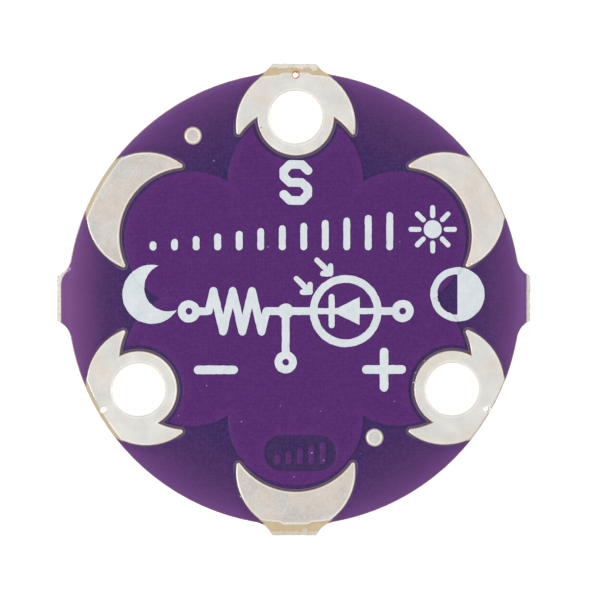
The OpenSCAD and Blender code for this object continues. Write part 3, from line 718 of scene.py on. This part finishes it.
# %% Finishes of the components
def make_mixed_finish(name, dark, light, roughness, metallic):
    shader, place = start_finish(name, roughness, metallic)
    wear = use_group(WEAR, place, mottle_scale=4.0, speck_scale=8.0)
    base = coat(blend(wear["Mottle"], dark, light), (wear["Scratch"], 0.3, light))
    gloss = wear["Grain"] * 0.15 + (roughness - 0.05)
    paint(shader, base, wear["Grain"], depth=0.003, roughness=gloss)


MIXED = {"copper_foil": ((184, 112, 78), (208, 138, 100), 0.35, 1.0),
         "carrier_laminate": ((206, 202, 180), (226, 222, 204), 0.5, 0.0),
         "gold_flash": ((214, 170, 92), (236, 198, 120), 0.25, 1.0),
         "dark_silicon": ((46, 42, 56), (66, 62, 80), 0.2, 0.0),
         "white_ceramic": ((226, 226, 222), (240, 240, 237), 0.45, 0.0),
         "matt_tin": ((178, 180, 182), (206, 207, 208), 0.4, 0.9),
         "black_glaze": ((22, 22, 25), (38, 38, 42), 0.25, 0.0),
         "bright_solder": ((184, 187, 190), (216, 218, 220), 0.22, 1.0),
         "glass_fibre": ((214, 206, 186), (240, 236, 224), 0.4, 0.0),
         "pale_dust": ((178, 168, 190), (216, 211, 220), 0.7, 0.0)}
for name, (dark, light, roughness, metallic) in MIXED.items():
    make_mixed_finish(name, colour(*dark), colour(*light), roughness, metallic)


def make_resin_finish():
    shader, place = start_finish("clear_resin", 0.08)
    shader.inputs["Transmission Weight"].default_value = 1.0
    shader.inputs["IOR"].default_value = 1.5
    wear = use_group(WEAR, place, mottle_scale=3.0, speck_scale=8.0)
    base = blend(wear["Mottle"], colour(247, 248, 243), colour(251, 251, 248))
    paint(shader, base, wear["Grain"], depth=0.002, roughness=wear["Grain"] * 0.08 + 0.04)


make_resin_finish()

# %% [markdown]
# Now every solid gets its finish. A solid keeps its shape and place: only the material in its slots
# changes. The names in the table are the names of the solids.

# %% Put the finishes on the solids
PETALS = [f"{face}_petal_{spot}" for face in ("back", "front")
          for spot in ("upper_left", "bottom", "upper_right")]
DOTS = [f"{face}_dot_{spot}" for face in ("back", "front") for spot in ("high", "low")]
RIGHT_PETALS = ["back_petal_upper_right", "front_petal_upper_right"]
NETS = ["signal_net", "minus_net", "plus_net"]
WEARS = {
    "tan_laminate": ["substrate"],
    "petal_plating": [name for name in PETALS + DOTS if name not in RIGHT_PETALS],
    "right_plating": RIGHT_PETALS,
    "pale_plating": NETS,
    "copper_foil": ["back_flower", "front_flower", "back_etched_bars"],
    "purple_lacquer": ["back_mask"],
    "purple_lacquer_front": ["front_mask"],
    "white_ink": ["back_print", "front_print"],
    "carrier_laminate": ["sensor_carrier"],
    "gold_flash": ["sensor_contact_signal", "sensor_contact_plus", "sensor_bond_wire"],
    "dark_silicon": ["sensor_die"],
    "clear_resin": ["sensor_lens"],
    "white_ceramic": ["resistor_body"],
    "matt_tin": ["resistor_cap_signal", "resistor_cap_minus"],
    "black_glaze": ["resistor_overcoat"],
    "bright_solder": ["solder_sensor_signal", "solder_sensor_plus", "solder_resistor_signal",
                      "solder_resistor_minus"],
}
for finish, names in WEARS.items():
    for name in names:
        materials = nodes[name].data.materials
        materials.clear()
        materials.append(FINISHES[finish])
print("solids dressed:", sum(map(len, WEARS.values())), "of", len(nodes))

# %% [markdown]
# Geometry Nodes make what follows an outline or repeats. These helpers build a tree with named
# inputs, run it on a mesh, and keep the result as a plain mesh, so that nothing live is left behind.

# %% Helpers for Geometry Nodes
GEOMETRY = {"Geometry": "NodeSocketGeometry"}


def new_geometry_tree(name, *inputs, **other_inputs):
    """A tree with a geometry, the named sizes and any other inputs."""
    sockets = {**GEOMETRY, **dict.fromkeys(inputs, VALUE), **other_inputs}
    return new_group(name, sockets, GEOMETRY, "GeometryNodeTree")


def finish_tree(result, geometry, finish):
    real = add(geometry.tree, "GeometryNodeRealizeInstances", {"Geometry": geometry}, out=0)
    feed(result["Geometry"], add(geometry.tree, "GeometryNodeSetMaterial", {
        "Geometry": real, "Material": FINISHES[finish]}, out=0))


def position(tree):
    return add(tree, "GeometryNodeInputPosition", out=0)


def moved(geometry, offset):
    return add(geometry.tree, "GeometryNodeSetPosition", {"Geometry": geometry, "Offset": offset}, out=0)


def stored(tree, name, data_type="FLOAT_VECTOR"):
    """The attribute that the mesh brought with it."""
    return add(tree, "GeometryNodeInputNamedAttribute", {"Name": name}, "Attribute",
               data_type=data_type)


def upwards(height):
    return add(height.tree, "ShaderNodeCombineXYZ", {"Z": height}, out=0)


def new_object(name, data):
    made = bpy.data.objects.new(name, data)
    bpy.context.scene.collection.objects.link(made)
    return made


def grow(name, source, tree, values):
    """Runs the tree on the source mesh and returns a new object with the plain result."""
    holder = new_object(name, source)
    modifier = holder.modifiers.new("grow", "NODES")
    modifier.node_group = tree
    for item in tree.interface.items_tree:
        if item.in_out == "INPUT" and item.name in values:
            modifier[item.identifier] = values[item.name]
    bpy.context.view_layer.update()
    graph = bpy.context.evaluated_depsgraph_get()
    result = bpy.data.meshes.new_from_object(holder.evaluated_get(graph))
    holder.modifiers.clear()
    holder.data = result
    return holder


# %% [markdown]
# A piece on the board may need its twin on the other face, or the parts of two runs in one mesh. The
# last helper merges doubles, turns the faces outwards and counts the edges that are left open.

# %% Helpers for meshes
MERGE = 0.0002
MERGE_FINE = 0.0001
back_pad_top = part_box("back_petal_bottom")[1].z / MM
front_pad_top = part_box("front_petal_bottom")[0].z / MM


def merged_copy(solids):
    """A build mesh of the named solids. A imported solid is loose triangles, so they are merged."""
    build = bmesh.new()
    for solid in solids:
        build.from_mesh(nodes[solid].data)
    bmesh.ops.remove_doubles(build, verts=build.verts, dist=MERGE * MM)
    return build


def join(pieces):
    """Puts the meshes of all pieces into the first one."""
    build = bmesh.new()
    for piece in pieces:
        build.from_mesh(piece.data)
    build.to_mesh(pieces[0].data)
    build.free()
    for piece in pieces[1:]:
        bpy.data.objects.remove(piece)
    return pieces[0]


def mirrored(name, piece):
    """The same piece on the other face of the board."""
    copy = new_object(name, piece.data.copy())
    for vertex in copy.data.vertices:
        vertex.co.z = (back_pad_top + front_pad_top) * MM - vertex.co.z
    return copy


def face_outwards(piece, smooth=True):
    build = bmesh.new()
    build.from_mesh(piece.data)
    bmesh.ops.remove_doubles(build, verts=build.verts, dist=MERGE_FINE * MM)
    bmesh.ops.recalc_face_normals(build, faces=build.faces)
    for face in build.faces:
        face.smooth = smooth
    unclosed = sum(not edge.is_manifold for edge in build.edges)
    build.to_mesh(piece.data)
    build.free()
    triangles = sum(len(polygon.vertices) - 2 for polygon in piece.data.polygons)
    print(f"{piece.name}: {triangles} triangles, {unclosed} open edges")


print("pads at", round(back_pad_top, 3), "and", round(front_pad_top, 3), "mm")

# %% [markdown]
# Rims and ink both start from outlines of the solids. This function looks at the faces that lie at one
# height, keeps the edges that have such a face on one side only, and can move them a little towards the
# metal. The mesh that it makes keeps the direction towards the metal as an attribute.

# %% Outlines of the solids
LEVEL_WITHIN = 0.002


def outline(name, solids, height, inset=0.0, keep=lambda at: True):
    """Border at one height, of the edges whose both ends pass the test in keep."""
    build = merged_copy(solids)
    level = [face for face in build.faces
             if all(abs(vert.co.z / MM - height) < LEVEL_WITHIN for vert in face.verts)]
    on_level = set(level)
    inwards, border = {}, []
    for face in level:
        for loop in face.loops:
            ends = (loop.vert, loop.link_loop_next.vert)
            if sum(other in on_level for other in loop.edge.link_faces) != 1:
                continue
            if not all(keep(vert.co.xy / MM) for vert in ends):
                continue
            border.append(ends)
            aside = face.normal.cross(ends[1].co - ends[0].co).normalized()
            for vert in ends:
                inwards.setdefault(vert, []).append(aside)
    places, leans = [], []
    for number, (vert, sides) in enumerate(inwards.items()):
        lean = sides[0] + sides[-1]
        places.append(vert.co + lean / max(1 + sides[0].dot(sides[-1]), 0.5) * inset * MM)
        leans.append(lean.normalized())
        vert.index = number
    mesh = bpy.data.meshes.new(name)
    mesh.from_pydata(places, [(one.index, other.index) for one, other in border], [])
    build.free()
    directions = mesh.attributes.new("inwards", "FLOAT_VECTOR", "POINT")
    directions.data.foreach_set("vector", [part for lean in leans for part in lean])
    print(f"{name}: {len(border)} edges of outline")
    return mesh


# %% [markdown]
# An etched pad doesn't end in a knife edge. The plating rounds its shoulder, and where the shoulder
# faces left it catches the light as a thin bright rim. The tree turns the outline into curves, varies
# their radius a little and sweeps a small circle along them. The circle is then stretched towards the
# metal, so that the rim rises gently from the pad and falls off roundly at its edge. A swept curve
# doesn't know its own sides, so the tree reads them from the outline's attribute.

# %% Tree of a rim
def make_rim_tree(name, finish):
    tree, given, result = new_geometry_tree(
        name, "Radius", "Unevenness", "Sink", "Inner Stretch", "Outer Stretch")
    curve = add(tree, "GeometryNodeMeshToCurve", {"Mesh": given["Geometry"]}, out=0)
    swell = (noise(scaled(position(tree), 1 / MM), scale=2.5) - 0.5) * given["Unevenness"] + 1.0
    rim_band = add(tree, "GeometryNodeSetCurveRadius", {"Curve": curve, "Radius": swell}, out=0)
    sunk = moved(rim_band, upwards(given["Sink"] * -1))
    circle = add(tree, "GeometryNodeCurvePrimitiveCircle", {
        "Resolution": 12, "Radius": given["Radius"]}, out=0)
    middle = add(tree, "GeometryNodeCaptureAttribute", {"Geometry": sunk})
    middle.capture_items.new("VECTOR", "Middle")
    here = position(tree)
    feed(middle.inputs["Middle"], here)
    swept = add(tree, "GeometryNodeCurveToMesh", {
        "Curve": Wire(middle.outputs["Geometry"]), "Profile Curve": circle}, out=0)
    inwards = stored(tree, "inwards")
    depth = vector("DOT_PRODUCT", vector("SUBTRACT", here, Wire(middle.outputs["Middle"])), inwards)
    stretch = choose(calc("GREATER_THAN", depth, 0.0), given["Outer Stretch"], given["Inner Stretch"])
    finish_tree(result, moved(swept, scaled(inwards, depth * (stretch - 1.0))), finish)
    return tree


# %% [markdown]
# The rims run around every pad of the back, but not into the holes, and not along the right edge, where
# the router rubbed them off. The front gets the same ones.

# %% Bright rims of the pads
RIM_R = 0.04
RIM_INSET = 0.04
RIM_PROUD = 0.006
RUBBED_X = 3.0
HOLE_SLACK = 0.02
EDGE_HOLE_R = 0.14
EDGE_HOLE_Y = {"signal_net": 9.86, "minus_net": 9.78, "plus_net": 9.78}
board_middle = Vector((PATTERN_SHIFT, 0))
sew_holes = [Vector(mounts[f"sew_hole_{net.removesuffix('_net')}"]["pos_m"][:2]) / MM for net in NETS]
edge_holes = [board_middle + (hole - board_middle) * EDGE_HOLE_Y[net] / SEW_Y
              for net, hole in zip(NETS, sew_holes)]


def in_hole(at, hole, radius):
    return (at - hole).length < radius + HOLE_SLACK


def on_etched_edge(at):
    """True on the outline of a pad, but not in its holes or where the router rubbed it on the right."""
    in_holes = [in_hole(at, hole, SEW_HOLE_R) for hole in sew_holes]
    in_holes += [in_hole(at, hole, EDGE_HOLE_R) for hole in edge_holes]
    return not any(in_holes) and (at.x < RUBBED_X or at.length < FOIL_R - 0.03)


back_plated = [name for name in PETALS + DOTS if name.startswith("back")] + NETS
rim_path = outline("back_pad_rims", back_plated, back_pad_top, RIM_INSET, on_etched_edge)
back_rims = grow("back_pad_rims", rim_path, make_rim_tree("pad rims", "rim_plating_with_painted_highlight"), {
    "Radius": RIM_R * MM, "Unevenness": 0.15, "Sink": (RIM_R - RIM_PROUD) * MM,
    "Inner Stretch": 2.0, "Outer Stretch": 1.2})
for piece in (back_rims, mirrored("front_pad_rims", back_rims)):
    face_outwards(piece)
    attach(piece, "root")

# %% [markdown]
# Each hole ends in a lip, where the plating turns over its edge. The tiny holes near the board's edge
# are drilled last, so the lip of the one at the signal pad shows bare orange copper. The other two and
# the sewing holes are plated over.

# %% Lips of the holes
LIP_R = 0.022
bare_lip = make_rim_tree("copper lip", "copper_foil")
plated_lip = make_rim_tree("plated lip", "pale_plating")
lips = []
for net, sew_hole, edge_hole in zip(NETS, sew_holes, edge_holes):
    edge_lip = bare_lip if net == "signal_net" else plated_lip
    for kind, hole, radius, tree in (("edge", edge_hole, EDGE_HOLE_R, edge_lip),
                                     ("sewing", sew_hole, SEW_HOLE_R, plated_lip)):
        path = outline(f"{net}_{kind}_path", [net], back_pad_top, 0.8 * LIP_R,
                       lambda at: in_hole(at, hole, radius))
        lips.append(grow(f"{net}_{kind}_lip", path, tree, {
            "Radius": LIP_R * MM, "Unevenness": 0.3, "Sink": 0.5 * LIP_R * MM,
            "Inner Stretch": 1.0, "Outer Stretch": 1.0}))
for lip in lips + [mirrored(f"front_{lip.name}", lip) for lip in lips]:
    face_outwards(lip)
    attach(lip, "root")

# %% [markdown]
# Screen-printed ink creeps along the weave, so its edges waver by a hundredth of a millimetre or two.
# The tree takes the outline of the print at one height, cuts it into short steps, pushes each point by
# a noise, fills the outline again and gives it the thickness of the film.

# %% Tree of the ragged ink
def make_ink_tree():
    tree, given, result = new_geometry_tree("ragged ink", "Top", "Thickness", "Step", "Waver")
    curve = add(tree, "GeometryNodeMeshToCurve", {"Mesh": given["Geometry"]}, out=0)
    cut = add(tree, "GeometryNodeResampleCurve", {"Curve": curve, "Length": given["Step"]}, out=0,
              mode="LENGTH")
    place = vector("MULTIPLY", position(tree), (1 / MM, 1 / MM, 0))
    field = noise(place, scale=3.6, roughness=0.5, out="Color")
    push = vector("MULTIPLY", vector("SUBTRACT", field, (0.5, 0.5, 0.5)), (1, 1, 0))
    wavy = moved(cut, scaled(push, stored(tree, "loose", "FLOAT") * given["Waver"]))
    sheet = add(tree, "GeometryNodeFillCurve", {"Curve": wavy}, out=0)
    film = add(tree, "GeometryNodeExtrudeMesh", {
        "Mesh": sheet, "Offset": (0, 0, 1), "Individual": False,
        "Offset Scale": given["Thickness"]}, out=0)
    closed = add(tree, "GeometryNodeJoinGeometry")
    feed(closed.inputs[0], add(tree, "GeometryNodeFlipFaces", {"Mesh": sheet}, out=0))
    feed(closed.inputs[0], film)
    foot = given["Top"] - given["Thickness"]
    finish_tree(result, moved(Wire(closed.outputs[0]), upwards(foot)), "white_ink")
    return tree


# %% [markdown]
# The film steps down from the copper flower to the laminate, and there both outlines share a line. A
# weight in the mesh keeps that line steady, and the upper film reaches over it by a hair, so that no
# gap opens between the two.

# %% Ragged ink
INK_STEP = 0.045
INK_WAVER = 0.055
INK_OVERLAP = 0.03
ink_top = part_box("back_print")[1].z / MM
ink_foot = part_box("back_mask")[1].z / MM


def flat_place(vertex):
    return round(vertex.co.x / MM, 3), round(vertex.co.y / MM, 3)


def weigh_shared(mesh, shared, overlap=0.0):
    """Writes 0 to the points in shared, which may be moved outwards a little, and 1 to the rest."""
    loose = mesh.attributes.new("loose", "FLOAT", "POINT")
    for vertex, item, inwards in zip(mesh.vertices, loose.data, mesh.attributes["inwards"].data):
        item.value = flat_place(vertex) not in shared
        if not item.value:
            vertex.co -= inwards.vector * overlap * MM


ink_tree = make_ink_tree()
levels = {"back_ink": ink_top, "lower_film": ink_top - COPPER_T}
paths = [outline(f"{name}_path", ["back_print"], level) for name, level in levels.items()]
shared = set.intersection(*({flat_place(vertex) for vertex in path.vertices} for path in paths))
weigh_shared(paths[0], shared, INK_OVERLAP)
weigh_shared(paths[1], shared)
films = [grow(name, path, ink_tree, {
    "Top": level * MM, "Thickness": (ink_top - ink_foot) * MM, "Step": INK_STEP * MM,
    "Waver": INK_WAVER * MM}) for (name, level), path in zip(levels.items(), paths)]
back_ink = join(films)
face_outwards(back_ink, smooth=False)
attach(back_ink, "root")
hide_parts("back_print")

# %% [markdown]
# Where the board was scored and snapped out of its panel, torn glass stands out of the four tab ends.
# The tree scatters points over those faces and puts a short fibre or a flat chip on each, turned about
# the face's own direction by a random amount. The seed is fixed, so every run tears the same way.

# %% Torn glass at the tab ends
FIBRE_SHARE = 0.45
UPRIGHT_BELOW = 0.7


def random_between(tree, least, most, seed):
    return add(tree, "FunctionNodeRandomValue", {0: least, 1: most, "Seed": seed}, out=0,
               data_type="FLOAT_VECTOR")


def make_torn_tree():
    tree, given, result = new_geometry_tree(
        "torn glass", "Reach", "Density", "Fibre Length", "Fibre Radius", "Chip Radius",
        Seed="NodeSocketInt")
    x, y = split(position(tree))[:2]
    up = split(add(tree, "GeometryNodeInputNormal", out=0))[2]
    at_end = calc("GREATER_THAN", larger(abs(x), abs(y)), given["Reach"])
    points = add(tree, "GeometryNodeDistributePointsOnFaces", {
        "Mesh": given["Geometry"], "Selection": at_end * calc("LESS_THAN", abs(up), UPRIGHT_BELOW),
        "Seed": given["Seed"], "Density": given["Density"]})
    fibre = add(tree, "GeometryNodeMeshCone", {
        "Vertices": 6, "Radius Bottom": given["Fibre Radius"],
        "Radius Top": given["Fibre Radius"] * 0.5, "Depth": given["Fibre Length"]}, out=0)
    chip = add(tree, "GeometryNodeMeshIcoSphere", {
        "Radius": given["Chip Radius"], "Subdivisions": 1}, out=0)
    is_fibre = add(tree, "FunctionNodeRandomValue", {"Seed": 5, "Probability": FIBRE_SHARE}, out=3,
                   data_type="BOOLEAN")
    both = add(tree, "GeometryNodeJoinGeometry")
    # Which points, the shape, its largest size, how far it tilts, and its seed.
    kinds = ((is_fibre, fibre, (1, 1, 1.2), 0.7, 11),
             (1.0 - is_fibre, chip, (1.5, 1.1, 0.7), 0.5, 23))
    for chosen, shape, largest, tilt, seed in kinds:
        size = random_between(tree, (0.5, 0.5, 0.3), largest, seed)
        lean = random_between(tree, (-tilt, -tilt, 0), (tilt, tilt, 2 * math.pi), seed + 1)
        turned = add(tree, "FunctionNodeRotateRotation", {
            "Rotation": Wire(points.outputs["Rotation"]), "Rotate By": lean}, out=0,
            rotation_space="LOCAL")
        feed(both.inputs[0], add(tree, "GeometryNodeInstanceOnPoints", {
            "Points": Wire(points.outputs["Points"]), "Selection": chosen, "Instance": shape,
            "Rotation": turned, "Scale": size}, out=0))
    finish_tree(result, Wire(both.outputs[0]), "glass_fibre")
    return tree


merged = merged_copy(["substrate"])
tab_source = bpy.data.meshes.new("tab_source")
merged.to_mesh(tab_source)
merged.free()
torn_glass = grow("torn_glass", tab_source, make_torn_tree(), {
    "Reach": (BOARD_R + 0.12) * MM, "Density": 130 / MM ** 2, "Fibre Length": 0.06 * MM,
    "Fibre Radius": 0.012 * MM, "Chip Radius": 0.035 * MM, "Seed": 7})
face_outwards(torn_glass, smooth=False)
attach(torn_glass, "root")

# %% [markdown]
# A board that has been handled carries a few grains of dust, and a scrap of lint has caught between the
# mask and the plus pad. Each row below is one grain: its place, length, width and turn. The tree puts a
# rounded lump on every row and gives it its own size and direction.

# %% Dust and lint
GRAINS = [
    (5.28, -3.70, 0.19, 0.055, 0.35), (5.74, -2.75, 0.055, 0.05, 0.0), (5.33, -3.28, 0.06, 0.04, 1.2),
    (6.42, -2.41, 0.05, 0.035, 0.4), (0.76, -6.80, 0.06, 0.05, 1.1), (-3.89, -3.83, 0.045, 0.04, 0.0),
    (-2.35, -5.42, 0.045, 0.04, 0.6), (-5.13, -5.15, 0.045, 0.035, 0.0), (-2.39, -8.72, 0.09, 0.05, 2.2),
    (4.40, -4.53, 0.045, 0.035, 0.9), (-7.34, 0.89, 0.05, 0.04, 0.0), (1.28, -7.13, 0.05, 0.04, 0.3)]
GRAIN_FLATNESS = 0.7


def make_dust_tree():
    tree, given, result = new_geometry_tree("dust")
    grain = add(tree, "GeometryNodeMeshIcoSphere", {"Radius": 0.5, "Subdivisions": 2}, out=0)
    uneven = noise(position(tree), scale=3.0) * 0.6 - 0.3
    lump = moved(grain, scaled(add(tree, "GeometryNodeInputNormal", out=0), uneven))
    points = add(tree, "GeometryNodeMeshToPoints", {"Mesh": given["Geometry"]}, out=0)
    placed = add(tree, "GeometryNodeInstanceOnPoints", {
        "Points": points, "Instance": lump, "Rotation": stored(tree, "turn"),
        "Scale": stored(tree, "size")}, out=0)
    finish_tree(result, placed, "pale_dust")
    return tree


def store(mesh, name, rows):
    values = [part for row in rows for part in row]
    mesh.attributes.new(name, "FLOAT_VECTOR", "POINT").data.foreach_set("vector", values)


spots = bpy.data.meshes.new("dust_spots")
spots.from_pydata([(x * MM, y * MM, 0) for x, y, *rest in GRAINS], [], [])
store(spots, "size", [(long * MM, wide * MM, GRAIN_FLATNESS * wide * MM)
                      for x, y, long, wide, turn in GRAINS])
store(spots, "turn", [(0, 0, turn) for *rest, turn in GRAINS])
mask_faces = BVHTree.FromObject(nodes["back_mask"], bpy.context.evaluated_depsgraph_get())
for vertex in spots.vertices:
    hit = mask_faces.ray_cast(Vector((vertex.co.x, vertex.co.y, 2 * MM)), Vector((0, 0, -1)))[0]
    vertex.co.z = hit.z if hit and hit.z > MM else ink_foot * MM
dust = grow("back_dust", spots, make_dust_tree(), {})
face_outwards(dust)
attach(dust, "root")

# %% [markdown]
# The floor is a plain pale sheet. It is drawn as nearly white for the camera and for reflections, and
# it still takes light and shade from the board, so the board's soft shadow stays on it. The world
# works in the same way: white where it is seen, and a calmer white where it lights the board. From
# below the floor is clear, so that the front face can be looked at.

# %% Floor and world
FLOOR_SIZE = 0.6
FLOOR_GREY = (0.55, 0.55, 0.55, 1.0)
FLOOR_GLOW = 0.8
WORLD_FILL = 0.6
WHITE = (1.0, 1.0, 1.0, 1.0)


def seen_directly(tree):
    path = add(tree, "ShaderNodeLightPath")
    camera, glossy, through = (Wire(path.outputs[f"Is {kind} Ray"])
                               for kind in ("Camera", "Glossy", "Transmission"))
    return larger(larger(camera, glossy), through)


def make_floor():
    bpy.ops.mesh.primitive_plane_add(size=FLOOR_SIZE, location=(0, 0, 0))
    floor = bpy.context.object
    floor.name = "floor"
    shader, place = start_finish("pale_floor", 0.9, specular=0.0)
    tree = place.tree
    shader.inputs["Base Color"].default_value = FLOOR_GREY
    shader.inputs["Emission Color"].default_value = WHITE
    feed(shader.inputs["Emission Strength"], seen_directly(tree) * FLOOR_GLOW)
    mix = add(tree, "ShaderNodeMixShader", {
        0: add(tree, "ShaderNodeNewGeometry", out="Backfacing"), 1: Wire(shader.outputs["BSDF"]),
        2: add(tree, "ShaderNodeBsdfTransparent", out="BSDF")}, "Shader")
    feed(tree.nodes["Material Output"].inputs["Surface"], mix)
    floor.data.materials.append(FINISHES["pale_floor"])


def make_world():
    world = bpy.data.worlds.new("studio")
    bpy.context.scene.world = world
    world.use_nodes = True
    background = world.node_tree.nodes["Background"]
    background.inputs["Color"].default_value = WHITE
    strength = seen_directly(world.node_tree) * (1 - WORLD_FILL) + WORLD_FILL
    feed(background.inputs["Strength"], strength)


make_floor()
make_world()

# %% [markdown]
# One broad lamp low on the left gives the light a direction. It catches every shoulder that faces it.
# A weaker one, lower still at the upper right, lights the bevels and rims on the far side. The world
# fills in the rest. Their power is set so that a colour renders about as it is written.

# %% Lamps
def make_lamp(name, place, size, power):
    light = bpy.data.lights.new(name, "AREA")
    light.shape = "DISK"
    light.size = size
    light.energy = power
    lamp = new_object(name, light)
    lamp.location = place
    lamp.rotation_euler = (-Vector(place)).to_track_quat("-Z", "Y").to_euler()
    print(f"{name}: {power} W")


make_lamp("key_light", place=(-0.30, -0.05, 0.20), size=0.26, power=0.75)
make_lamp("low_light", place=(0.22, 0.27, 0.08), size=0.2, power=0.37)

# %% [markdown]
# The camera looks almost straight down through a long lens. It leans a few degrees towards the left,
# so that the left wall of the board and the right walls of the holes just show.

# %% Camera
LOOK_AT = (0.236, -0.06, 1.41)
LEAN_LEFT = 4.0
LEAN_UP = 1.0
DISTANCE = 0.4
FRAME_WIDTH = 26.44
SENSOR_WIDTH = 36.0


def make_camera():
    data = bpy.data.cameras.new("camera")
    data.sensor_width = SENSOR_WIDTH
    data.lens = DISTANCE * SENSOR_WIDTH / (FRAME_WIDTH * MM)
    data.clip_end = 10
    camera = new_object("camera", data)
    away = Vector((-math.tan(math.radians(LEAN_LEFT)), math.tan(math.radians(LEAN_UP)), 1.0))
    camera.location = Vector(LOOK_AT) * MM + away.normalized() * DISTANCE
    right = Vector((0, 1, 0)).cross(away).normalized()
    axes = Matrix((right, away.normalized().cross(right), away.normalized())).transposed()
    camera.rotation_euler = axes.to_euler()
    bpy.context.scene.camera = camera
    print("lens:", round(data.lens), "mm")


make_camera()
bpy.context.scene.view_settings.view_transform = "Standard"
